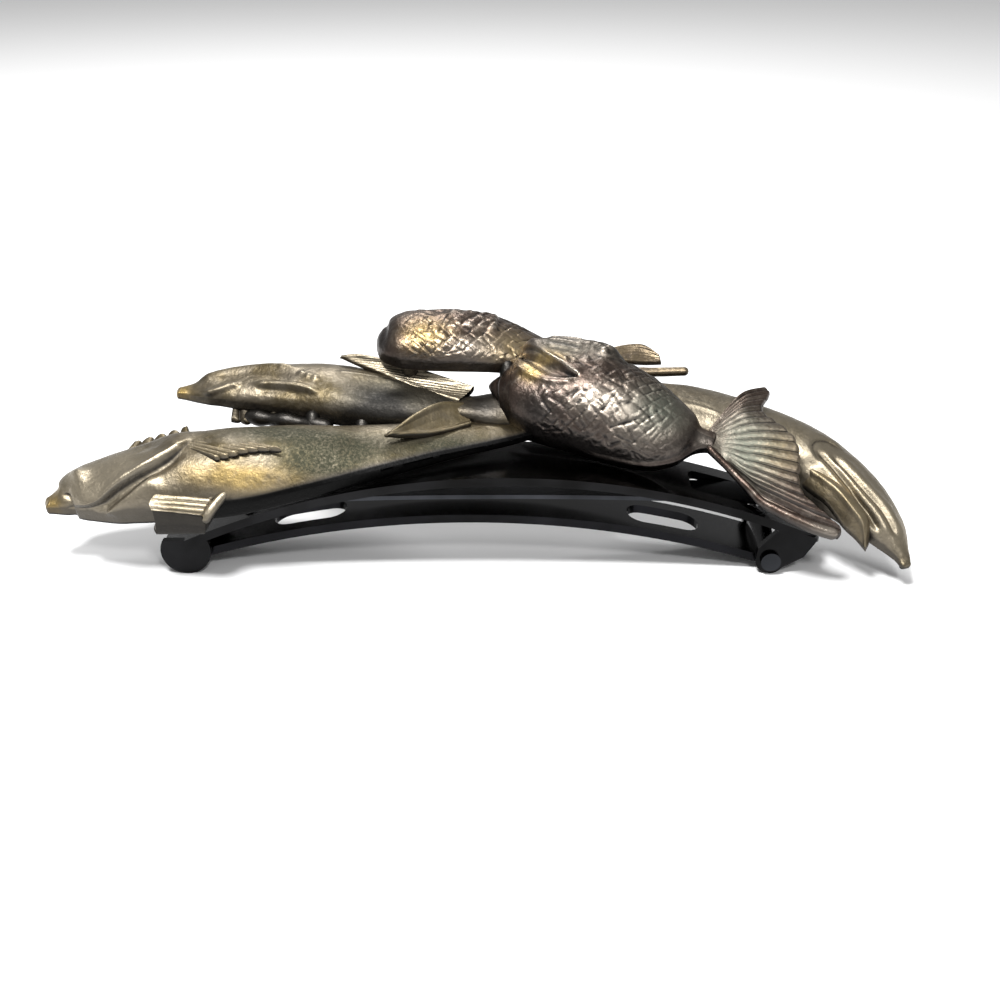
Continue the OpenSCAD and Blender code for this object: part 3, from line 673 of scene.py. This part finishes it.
class Pieces:
    """Collects closed surfaces and their marks for one object."""

    def __init__(self):
        self.points = []
        self.faces = []
        # The dark mark is painted shade; the mark for wear also carries painted highlight
        self.marks = {name: [] for name in ("cavity", "gold", "patina", "dark", "worn")}
        self.count = 0

    def add(self, grid, faces, **marks):
        pts = grid.reshape(-1, 3)
        self.points.append(pts)
        self.faces.append(faces + self.count)
        self.count += len(pts)
        for name, values in self.marks.items():
            values.append(spread(marks.get(name, 0.0), pts))

    def add_casting(self, body, side_dark=0.75, dark=0.0, **marks):
        grid = body["grid"]
        # Painted shade on the side walls, by side_dark, and in full on the hollow underside
        side = np.maximum(body["side"] * side_dark, body["under"])
        shade = np.maximum(side.ravel(), spread(dark, grid))
        self.add(grid, grid_faces(*grid.shape[:2]), cavity=body["cavity"], dark=shade, **marks)

    def add_fan(self, sheet, **marks):
        quads = sheet_faces(*sheet["top"].shape[:2])
        self.add(sheet["top"], quads, cavity=sheet["cavity"], **marks)
        # Painted shade over the underside of the sheet
        self.add(sheet["low"], quads[:, ::-1], dark=0.9)

    def add_rod(self, grid, **marks):
        self.add(grid, grid_faces(*grid.shape[:2]), cavity=0.02, **marks)

    def build(self, name, material):
        mesh = bpy.data.meshes.new(name)
        pts = (np.concatenate(self.points) + FISH_LIFT) * MM
        faces = np.concatenate(self.faces)
        mesh.from_pydata(pts.tolist(), [], faces.tolist())
        for mark_name, values in self.marks.items():
            layer = mesh.attributes.new(mark_name, "FLOAT", "POINT")
            layer.data.foreach_set("value", np.concatenate(values).astype(np.float32))
        mesh.validate()
        mesh.shade_smooth()
        mesh.materials.append(material)
        piece = bpy.data.objects.new(name, mesh)
        bpy.context.scene.collection.objects.link(piece)
        return piece


def spread(value, like):
    """A number, an array or a function of points as one value for each point."""
    pts = like.reshape(-1, 3)
    if callable(value):
        return value(pts)
    return np.broadcast_to(np.ravel(value).astype(float), len(pts))


def around(at, size):
    """Weight that is 1 at a place and falls off over its size in x, y and z."""
    at = np.array(at, float)
    size = np.array(size, float)
    return lambda p: np.exp(-(((p - at) / size) ** 2).sum(axis=1))


def either(*weights, share=1.0):
    """The weights added up to 1 at most, times a share. One that is named twice is broader."""
    return lambda p: share * np.clip(sum(w(p) for w in weights), 0, 1)


def as_cast(piece):
    """Makes the piece ride on the clip in place of the soldered cluster."""
    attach(piece, "clip")
    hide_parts("fish_cluster")


# Materials

def node(tree, kind, **values):
    made = tree.nodes.new(kind)
    for key, value in values.items():
        setattr(made, key, value)
    return made


def mark(tree, name):
    """One of the marks that the mesh carries."""
    made = node(tree, "ShaderNodeAttribute", attribute_name=name, attribute_type="GEOMETRY")
    return made.outputs["Fac"]


def math_node(tree, what, a, b):
    made = node(tree, "ShaderNodeMath", operation=what)
    for socket, value in zip(made.inputs, (a, b)):
        if isinstance(value, (int, float)):
            socket.default_value = value
        else:
            tree.links.new(value, socket)
    return made.outputs[0]


def span(tree, value, low, high, out_low=0.0, out_high=1.0):
    """Maps low to out_low and high to out_high, and holds both beyond them."""
    made = node(tree, "ShaderNodeMapRange", clamp=True)
    tree.links.new(value, made.inputs["Value"])
    made.inputs["From Min"].default_value = low
    made.inputs["From Max"].default_value = high
    made.inputs["To Min"].default_value = out_low
    made.inputs["To Max"].default_value = out_high
    return made.outputs["Result"]


def mix(tree, share, a, b):
    """Colour a turned into colour b by a share. A Mix node's colours are its sockets 6, 7 and 2."""
    made = node(tree, "ShaderNodeMix", data_type="RGBA")
    for socket, value in ((made.inputs[0], share), (made.inputs[6], a), (made.inputs[7], b)):
        if isinstance(value, tuple):
            socket.default_value = value + (1.0,)
        else:
            tree.links.new(value, socket)
    return made.outputs[2]


def in_mm(tree):
    """The object's own coordinates in millimetres."""
    coords = node(tree, "ShaderNodeTexCoord").outputs["Object"]
    scaled = node(tree, "ShaderNodeVectorMath", operation="MULTIPLY")
    tree.links.new(coords, scaled.inputs[0])
    scaled.inputs[1].default_value = (1 / MM, 1 / MM, 1 / MM)
    return scaled.outputs[0]


def noise(tree, where, scale, detail=3.0, rough=0.55):
    made = node(tree, "ShaderNodeTexNoise")
    tree.links.new(where, made.inputs["Vector"])
    made.inputs["Scale"].default_value = scale
    made.inputs["Detail"].default_value = detail
    made.inputs["Roughness"].default_value = rough
    return made.outputs["Fac"]


def new_material(name, metallic, roughness):
    material = bpy.data.materials.new(name)
    material.use_nodes = True
    tree = material.node_tree
    shader = tree.nodes["Principled BSDF"]
    shader.inputs["Metallic"].default_value = metallic
    shader.inputs["Roughness"].default_value = roughness
    return material, tree, shader


def fine_bump(tree, shader, where, scale, depth):
    height = noise(tree, where, scale, detail=4.0, rough=0.6)
    made = node(tree, "ShaderNodeBump")
    made.inputs["Strength"].default_value = 1.0
    made.inputs["Distance"].default_value = depth * MM
    tree.links.new(height, made.inputs["Height"])
    tree.links.new(made.outputs["Normal"], shader.inputs["Normal"])


def cast_metal(name, light, warm, worn, patina, satin):
    """Antiqued casting: dark in the recesses, rubbed bright on high spots, speckled with patina,
    with painted highlight and painted shade where the marks ask.
    """
    gold = (0.50, 0.35, 0.12)
    recess = (0.018, 0.018, 0.019)
    shadow = (0.040, 0.038, 0.037)
    painted_black_shade = (0.008, 0.008, 0.008)
    satin_range = 0.07
    material, tree, shader = new_material(name, metallic=1.0, roughness=0.36)
    where = in_mm(tree)
    broad = noise(tree, where, scale=0.22)
    middle = noise(tree, where, scale=0.9, detail=4.0, rough=0.65)
    specks = noise(tree, where, scale=3.2, detail=4.0, rough=0.7)
    cavity = mark(tree, "cavity")
    # Light and warm areas, and patches that are worn
    color = mix(tree, span(tree, broad, 0.4, 0.62), light, warm)
    color = mix(tree, span(tree, middle, 0.5, 0.8, 0.0, 0.4), color, worn)
    # Painted highlight: the lighter colour laid on where the mark asks, standing in for light on
    # those faces
    color = mix(tree, mark(tree, "worn"), color, worn)
    # Gold and patina where the marks put them, broken up by the noise
    gold_noise = span(tree, middle, 0.3, 0.55, 0.45, 1.0)
    gold_share = math_node(tree, "MULTIPLY", mark(tree, "gold"), gold_noise)
    color = mix(tree, gold_share, color, gold)
    patina_noise = span(tree, specks, 0.3, 0.55, 0.5, 1.0)
    patina_share = math_node(tree, "MULTIPLY", mark(tree, "patina"), patina_noise)
    color = mix(tree, patina_share, color, patina)
    # Dark in the recesses and bright on the edges of the relief
    deep = span(tree, cavity, -0.01, -0.09, 0.0, 0.9)
    color = mix(tree, deep, color, recess)
    edge = span(tree, cavity, 0.02, 0.1, 0.0, 0.75)
    color = mix(tree, edge, color, worn)
    # Painted shade: darker on faces that are marked dark or turned down, near black where the dark
    # mark is highest
    up = node(tree, "ShaderNodeSeparateXYZ")
    tree.links.new(node(tree, "ShaderNodeNewGeometry").outputs["Normal"], up.inputs[0])
    turned_down = span(tree, up.outputs[2], 0.55, -0.1, 0.0, 0.85)
    low = math_node(tree, "MAXIMUM", mark(tree, "dark"), turned_down)
    color = mix(tree, low, color, shadow)
    color = mix(tree, span(tree, mark(tree, "dark"), 0.8, 1.0), color, painted_black_shade)
    tree.links.new(color, shader.inputs["Base Color"])
    # Duller under patina and in the recesses, glossier on the edges
    patchy = span(tree, specks, 0.3, 0.7, satin - satin_range, satin + satin_range)
    rough = math_node(tree, "ADD", patchy, math_node(tree, "MULTIPLY", patina_share, 0.2))
    rough = math_node(tree, "ADD", rough, math_node(tree, "MULTIPLY", deep, 0.2))
    rough = math_node(tree, "SUBTRACT", rough, math_node(tree, "MULTIPLY", edge, 0.1))
    tree.links.new(rough, shader.inputs["Roughness"])
    fine_bump(tree, shader, where, scale=2.6, depth=0.06)
    return material


def dark_steel(name, dark, light):
    """Blackened sheet steel with a satin face, rubbed a little in places."""
    material, tree, shader = new_material(name, metallic=1.0, roughness=0.3)
    where = in_mm(tree)
    broad = noise(tree, where, scale=0.12)
    color = mix(tree, span(tree, broad, 0.35, 0.7), dark, light)
    tree.links.new(color, shader.inputs["Base Color"])
    tree.links.new(span(tree, broad, 0.3, 0.7, 0.14, 0.24), shader.inputs["Roughness"])
    return material


# The five fish and their solder

def under_edge(body, start, depth):
    """Weight of the lowest part of the near flank, from a place behind the nose on, where painted
    shade is laid.
    """
    fade = 4
    low = 1 - smooth(0.5 * depth, depth, body["w"])
    return low * smooth(start, start + fade, body["g"]) * (body["across"] < 0.5)


def koi_left(material):
    gold_highlight_streak = around((-26.5, -5.8, 12.4), (5.5, 1.6, 1.0))
    snout = around((-49.2, -3.0, 7.4), (1.2, 2.2, 1.2))
    cheek = around((-42.0, -3.5, 10.0), (6.0, 4.0, 4.0))
    gold_highlight_wedge = around((-25.5, -6.5, 11.4), (3.2, 1.0, 0.8))
    flank = around((-18.0, -4.4, 13.2), (4.5, 2.0, 1.6))
    back = around((-15.5, -2.0, 14.4), (7.5, 2.8, 2.4))
    shoulder = around((-24.0, 0.0, 15.2), (6.5, 2.4, 2.4))
    tail = around((-3.0, -0.5, 14.0), (6.0, 2.5, 2.0))
    pectoral_root = [[-33.1, -2.6, 14.5], [-33.7, -0.9, 14.8], [-33.4, 0.8, 14.9]]
    pectoral_tips = [[-29.6, -4.9, 14.4], [-28.1, -4.8, 14.7], [-26.2, -4.4, 15.1],
                     [-24.3, -4.1, 15.2], [-22.2, -4.2, 15.2]]
    pelvic_root = [[-36.4, -8.1, 9.0], [-36.9, -7.4, 9.8], [-36.3, -6.2, 10.6],
                   [-35.4, -5.4, 11.0]]
    pelvic_tips = [[-30.7, -8.8, 9.0], [-30.2, -7.9, 9.8], [-29.6, -6.8, 10.5],
                   [-28.8, -5.6, 11.0]]
    pelvic_edge = [[-30.9, -8.2, 7.8, 0.55], [-30.2, -7.8, 8.9, 0.6], [-29.2, -6.7, 9.9, 0.55],
                   [-28.2, -5.6, 10.6, 0.4]]
    dorsal_root = [[-43.0, 3.4, 10.2], [-34.0, 4.2, 11.8]]
    dorsal_tips = [[-41.5, 6.2, 11.6], [-38.4, 6.8, 12.4], [-35.2, 6.8, 13.4]]
    made = Pieces()
    body = casting(KOI_LEFT, rings=420, count=136, relief=koi_left_relief, lips=0.4,
                   caps=(0.6, 0.3), crowns=koi_left_crowns)
    # Painted shade along the lowest band of the near flank and on the walls; painted highlight on
    # the cheek and the wedge, the wedge and the streak in gold
    made.add_casting(body, side_dark=1.0, gold=either(snout, gold_highlight_streak, gold_highlight_wedge, share=0.8),
                     patina=either(back, shoulder, tail, flank), dark=under_edge(body, 15, 2.9),
                     worn=either(cheek, cheek, gold_highlight_wedge, gold_highlight_wedge, share=0.8))
    made.add_fan(fan(pectoral_root, pectoral_tips, rays=7, thick=0.9, ray_height=0.22,
                     notch=0.5), gold=0.1, worn=0.35)
    # Painted shade on the front face of the pelvic slab; painted highlight along its edge rod and
    # on the fins, with some wear
    pelvic = fan(pelvic_root, pelvic_tips, rays=6, thick=3.4, ray_height=0.2, notch=0.1,
                 outer=0.4, up=(0.0, -0.2, 0.98))
    made.add_fan(pelvic, dark=0.9 * (1 - smooth(0.09, 0.14, pelvic["v"])), worn=0.3)
    made.add_rod(rod(pelvic_edge), worn=0.7)
    made.add_fan(fan(dorsal_root, dorsal_tips, rays=5, thick=1.0, notch=0.8, lengthwise=24))
    as_cast(made.build("koi_left", material))


def koi_back(material):
    nose = around((-36.8, 12.0, 15.4), (1.4, 1.6, 1.2))
    cheek = around((-29.0, 9.0, 16.5), (5.0, 4.0, 3.0))
    rear = around((-11.5, 6.5, 16.5), (5.0, 4.0, 3.0))
    stalk = around((-2.0, 5.5, 15.5), (4.0, 4.0, 3.0))
    low = around((-13.5, 5.0, 14.6), (7.0, 1.8, 1.6))
    fin_root = [[-30.2, 10.4, 14.8], [-24.8, 9.8, 15.0]]
    fin_tips = [[-30.2, 7.9, 13.6], [-28.1, 7.3, 13.5], [-26.2, 6.9, 13.8], [-24.4, 6.9, 14.2]]
    tail_root = [[-3.6, 5.4, 14.8], [-3.6, 9.8, 15.2]]
    tail_tips = [[4.6, 4.6, 14.8], [3.0, 7.6, 15.0], [5.0, 11.2, 15.4]]
    made = Pieces()
    body = casting(KOI_BACK, rings=280, count=104, relief=koi_back_relief, lips=0.3,
                   caps=(0.5, 0.3))
    # Painted shade on the low flank, the stalk, the rear and both fins; a faint painted highlight
    # on the cheek
    made.add_casting(body, side_dark=0.9, gold=nose, patina=either(rear, stalk),
                     dark=either(low, stalk, rear, share=0.87), worn=either(cheek, share=0.15))
    made.add_fan(fan(fin_root, fin_tips, rays=5, thick=0.9, lengthwise=24), dark=0.5)
    made.add_fan(fan(tail_root, tail_tips, rays=4, thick=1.2, lengthwise=30, ray_height=0.1),
                 dark=0.6)
    as_cast(made.build("koi_back", material))


def koi_right(material):
    head = around((42.0, -2.0, 8.5), (6.0, 7.0, 6.0))
    back = around((30.0, 3.0, 14.0), (9.0, 6.0, 3.0))
    point = around((46.5, -5.5, 5.0), (3.0, 3.0, 3.5))
    stalk = around((0.5, 6.0, 15.5), (5.0, 4.0, 3.0))
    crease = around((41.0, -4.0, 9.0), (2.5, 2.0, 3.0))
    far_leaf = ([[-2.7, 6.4, 16.2], [-7.3, 8.4, 16.8], [-11.6, 10.6, 17.9],
                 [-15.4, 12.6, 18.8], [-17.2, 13.6, 19.3]],
                [[-0.8, 9.2, 17.0], [-6.2, 10.9, 18.4], [-11.1, 12.4, 19.4],
                 [-14.8, 13.4, 19.9], [-17.1, 13.6, 19.7]])
    near_leaf = ([[-1.2, 3.4, 14.3], [-3.5, 2.2, 14.1], [-5.8, 0.9, 14.2],
                  [-8.6, -0.3, 14.7], [-10.9, -0.8, 15.0]],
                 [[-1.6, 6.6, 16.2], [-4.8, 5.2, 16.9], [-7.6, 2.8, 16.5],
                  [-9.8, 0.3, 15.7], [-10.9, -0.7, 15.3]])
    head_leaf = ([[37.3, -1.0, 8.6], [39.5, -3.7, 7.9], [41.4, -5.4, 5.8],
                  [42.9, -6.4, 4.6], [43.9, -7.2, 3.6]],
                 [[38.9, -0.2, 11.1], [41.4, -3.2, 10.0], [42.9, -5.0, 8.8],
                  [44.1, -6.3, 7.1], [44.2, -7.1, 4.4]])
    made = Pieces()
    body = casting(KOI_RIGHT, rings=340, count=116, relief=koi_right_relief, nose_last=True,
                   lips=0.2, caps=(0.3, 0.5))
    # Painted shade on the stalk and lightly on the walls; the head, the back, the point and the
    # leaves lighter, rubbed and with painted highlight
    made.add_casting(body, side_dark=0.3, dark=stalk, gold=either(crease, share=0.3),
                     worn=either(head, back, point, share=0.65))
    made.add_fan(blade(*far_leaf, thick=0.9, hollow=0.1, rims=(0.1, 0.25), rim_width=0.35,
                       lines=8, line_height=0.08, slant=12.0), worn=0.45)
    made.add_fan(blade(*near_leaf, thick=0.9, hollow=0.3, rims=(0.4, 0.1), rim_width=0.4,
                       lines=4, line_height=0.06), gold=0.15, patina=0.3, worn=0.15)
    made.add_fan(blade(*head_leaf, thick=1.3, hollow=-0.35, rims=(0.0, 0.3), rim_width=0.55),
                 gold=0.15, worn=0.3)
    as_cast(made.build("koi_right", material))


def goldfish_front(material):
    made = Pieces()
    add_front_body(made)
    add_front_tail(made)
    as_cast(made.build("goldfish_front", material))


def add_front_body(made):
    """Body of the goldfish in front."""
    almond = around((7.4, 6.8, 21.9), (2.4, 1.5, 1.2))
    chin = around((6.1, 5.0, 20.8), (1.3, 1.2, 1.0))
    rear = around((20.5, 1.5, 17.5), (4.0, 4.0, 3.0))
    hump = around((9.8, 9.6, 21.8), (3.6, 1.8, 1.5))
    crest = around((14.5, 8.2, 21.6), (4.5, 2.0, 1.6))
    right = around((19.0, -0.5, 17.1), (3.5, 3.0, 3.0))
    shine = around((13.6, 0.8, 18.8), (3.0, 2.0, 1.6))
    stalk = around((25.7, 0.5, 14.3), (0.8, 0.9, 0.7))
    slot = around((7.6, 5.6, 21.2), (2.4, 0.8, 0.6))
    jaw = around((6.5, 1.5, 17.0), (4.0, 3.0, 3.0))
    body = casting(GOLD_FRONT, rings=280, count=128, relief=gold_front_relief, lips=-1.4,
                   lip_reach=0.4, caps=(0.1, 0.3), slope=60)
    # Painted shade in the almond slot, over the jaw, the hump and the crest and along the lower
    # flank; painted highlight on the shine, the stalk and the right side
    shade = either(slot, jaw, hump, crest, share=0.84)(body["grid"].reshape(-1, 3))
    made.add_casting(body, gold=either(almond, chin, share=0.8),
                     patina=either(rear, hump, crest),
                     dark=np.maximum(shade, 0.6 * under_edge(body, -4, 5.0).ravel()),
                     worn=either(shine, stalk, right, share=0.7))


def add_front_tail(made):
    """Fan tail of the goldfish in front, with a thick lower edge."""
    root = [[26.2, -0.3, 13.6], [26.3, 1.1, 14.1], [26.5, 2.4, 14.4]]
    lower_edge = [[26.2, -0.3, 13.6], [28.7, -2.4, 11.6], [30.3, -4.0, 10.4], [31.9, -5.4, 9.1],
                  [33.5, -6.4, 8.5], [35.2, -7.2, 7.9], [37.5, -7.9, 7.1], [40.3, -8.2, 6.2]]
    radii = [0.45, 0.45, 0.5, 0.55, 0.6, 0.7, 0.78, 0.72]
    upper_edge = [[26.5, 2.4, 14.4], [29.3, 5.2, 16.4], [31.2, 6.6, 17.4], [33.9, 8.0, 17.6]]
    tips = [[40.3, -8.2, 6.2], [40.6, -8.0, 7.2], [38.6, -7.4, 8.9], [36.7, -6.0, 10.3],
            [36.2, -4.6, 11.6], [36.5, -3.0, 12.8], [36.6, -1.4, 13.9], [36.1, 0.2, 15.0],
            [34.5, 2.0, 15.9], [33.3, 3.2, 16.4], [33.1, 4.6, 16.9], [34.0, 6.2, 17.3],
            [34.4, 7.4, 17.5], [33.9, 8.0, 17.6]]
    glint = around((34.6, -1.8, 13.6), (2.6, 3.0, 2.5))
    inner = around((31.0, -1.0, 13.5), (4.5, 6.0, 4.5))
    fringe = around((36.0, -1.0, 14.5), (2.0, 4.0, 3.0))
    low_tip = around((39.5, -8.0, 6.5), (2.5, 1.5, 1.5))
    # Golden painted glint, and painted highlight at the fringe and along the low tip of the edge
    # rod
    made.add_fan(fan(root, tips, rays=18, thick=1.0, bulge=0.3, ray_height=0.24, notch=0.25,
                     lengthwise=90, fine=0.04, sides=(lower_edge, upper_edge), per_ray=10,
                     ray_start=0.1),
                 gold=either(glint, share=0.35), patina=either(inner, share=0.85),
                 worn=either(fringe, share=0.4))
    made.add_rod(rod([place + [radius] for place, radius in zip(lower_edge, radii)]),
                 worn=either(low_tip, share=0.9))


def goldfish_back(material):
    cheek = around((-6.5, 10.5, 23.3), (2.8, 3.0, 1.8))
    right = around((4.0, 10.8, 21.2), (3.5, 3.0, 2.5))
    nose = around((-12.0, 12.0, 22.0), (2.0, 4.0, 3.0))
    flank = around((-1.0, 9.8, 22.0), (4.5, 1.5, 1.2))
    tail_leaf = ([[13.0, 13.0, 18.4], [15.1, 13.8, 18.5], [17.7, 14.4, 18.3],
                  [20.2, 15.0, 17.9], [22.3, 15.4, 17.8]],
                 [[12.6, 14.6, 19.0], [14.7, 15.6, 19.4], [17.5, 16.8, 19.7],
                  [20.0, 17.2, 19.7], [22.0, 16.3, 18.7]])
    tail_rod = [[11.0, 12.9, 18.6, 0.8], [17.0, 13.3, 17.7, 0.62], [21.4, 13.6, 17.5, 0.58],
                [25.5, 13.6, 17.6, 0.55]]
    made = Pieces()
    body = casting(GOLD_BACK, rings=240, count=100, relief=gold_back_relief, caps=(0.7, 0.3),
                   slope=40)
    # Painted shade over the nose; painted highlight on the flank and the right end, golden on the
    # cheek and the right end
    made.add_casting(body, gold=either(cheek, right, share=0.5), dark=either(nose, share=0.8),
                     worn=either(flank, right, share=0.5))
    made.add_fan(blade(*tail_leaf, thick=0.9, hollow=0.1, rims=(0.1, 0.2), rim_width=0.4,
                       lines=7, line_height=0.05), gold=0.25, worn=0.3)
    made.add_rod(rod(tail_rod), gold=0.25, worn=0.3)
    as_cast(made.build("goldfish_back", material))


def solder(material):
    """One long bead and short runs, each run going a little past its ends in the table."""
    low_radius = 1.1
    high_radius = 0.9
    high_reach = 0.8
    made = Pieces()
    # Painted shade: the bead and the runs are marked dark so that they sit in shade between the
    # castings
    made.add_rod(rod(SOLDER_BEAD), dark=0.85)
    for run in SOLDER_RUNS:
        low = np.array(run[:3], float)
        high = np.array(run[3:], float)
        reach = unit(high - low)
        rows = [[*(low - reach), low_radius], [*low, low_radius],
                [*high, high_radius], [*(high + reach * high_reach), high_radius]]
        made.add_rod(rod(rows, count=20, steps=24), dark=0.85)
    as_cast(made.build("solder", material))


# The clip, from the CAD

def dress_clip():
    plate = dark_steel("blackened_plate", (0.008, 0.008, 0.008), (0.018, 0.018, 0.019))
    arm = dark_steel("blackened_arm", (0.007, 0.007, 0.007), (0.015, 0.015, 0.017))
    spring = dark_steel("spring_strip", (0.020, 0.021, 0.023), (0.045, 0.047, 0.053))
    looks = {"clip_plate": plate, "hinge_pin": spring, "clip_arm": arm, "tension_bow": spring}
    for name, material in looks.items():
        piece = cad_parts[name]
        for slot in piece.material_slots:
            slot.material = material


# Floor, light and camera

def stage():
    half = 3.0
    corners = [(-half, -half, 0), (half, -half, 0), (half, half, 0), (-half, half, 0)]
    mesh = bpy.data.meshes.new("floor")
    mesh.from_pydata(corners, [], [(0, 1, 2, 3)])
    floor = bpy.data.objects.new("floor", mesh)
    bpy.context.scene.collection.objects.link(floor)
    material, _, shader = new_material("pale_floor", metallic=0.0, roughness=0.8)
    shader.inputs["Base Color"].default_value = (0.9, 0.9, 0.9, 1)
    mesh.materials.append(material)


def lamp(name, at, towards, size, power):
    light = bpy.data.lights.new(name, "AREA")
    light.shape = "DISK"
    light.size = size
    light.energy = power
    obj = bpy.data.objects.new(name, light)
    obj.location = at
    obj.rotation_euler = (Vector(towards) - Vector(at)).to_track_quat("-Z", "Y").to_euler()
    bpy.context.scene.collection.objects.link(obj)


def lights():
    world = bpy.data.worlds.new("studio")
    world.use_nodes = True
    background = world.node_tree.nodes["Background"]
    background.inputs["Color"].default_value = (1, 1, 1, 1)
    background.inputs["Strength"].default_value = 0.4
    bpy.context.scene.world = world
    middle = (0, 0, 0.01)
    lamp("key", (-0.10, -0.13, 0.42), middle, size=0.12, power=2.4)
    lamp("front", (0.10, -0.34, 0.34), middle, size=0.07, power=0.6)
    lamp("back", (-0.05, 0.30, 0.36), middle, size=0.14, power=1.0)
    bpy.context.scene.view_settings.view_transform = "Standard"


def camera():
    """Straight from the front, 26 degrees above the table."""
    x = 0.0023
    target = Vector((x, -0.0032, 0.0085))
    data = bpy.data.cameras.new("camera")
    data.lens = 50.09
    data.sensor_width = 36.0
    data.clip_start = 0.005
    data.dof.use_dof = False
    obj = bpy.data.objects.new("camera", data)
    obj.location = (x, -0.1470, 0.07864)
    obj.rotation_euler = (target - obj.location).to_track_quat("-Z", "Y").to_euler()
    bpy.context.scene.collection.objects.link(obj)
    bpy.context.scene.camera = obj


brown_silver = cast_metal("brown_silver", light=(0.20, 0.17, 0.125), warm=(0.115, 0.09, 0.05),
                          worn=(0.46, 0.40, 0.30), patina=(0.050, 0.050, 0.034), satin=0.41)
grey_silver = cast_metal("grey_silver", light=(0.16, 0.145, 0.12), warm=(0.095, 0.083, 0.063),
                         worn=(0.42, 0.38, 0.31), patina=(0.035, 0.039, 0.038), satin=0.38)
pink_silver = cast_metal("pink_silver", light=(0.12, 0.088, 0.072), warm=(0.062, 0.043, 0.034),
                         worn=(0.50, 0.44, 0.37), patina=(0.12, 0.13, 0.105), satin=0.34)

koi_left(brown_silver)
koi_back(brown_silver)
koi_right(brown_silver)
goldfish_front(pink_silver)
goldfish_back(pink_silver)
solder(grey_silver)
dress_clip()
stage()
lights()
camera()
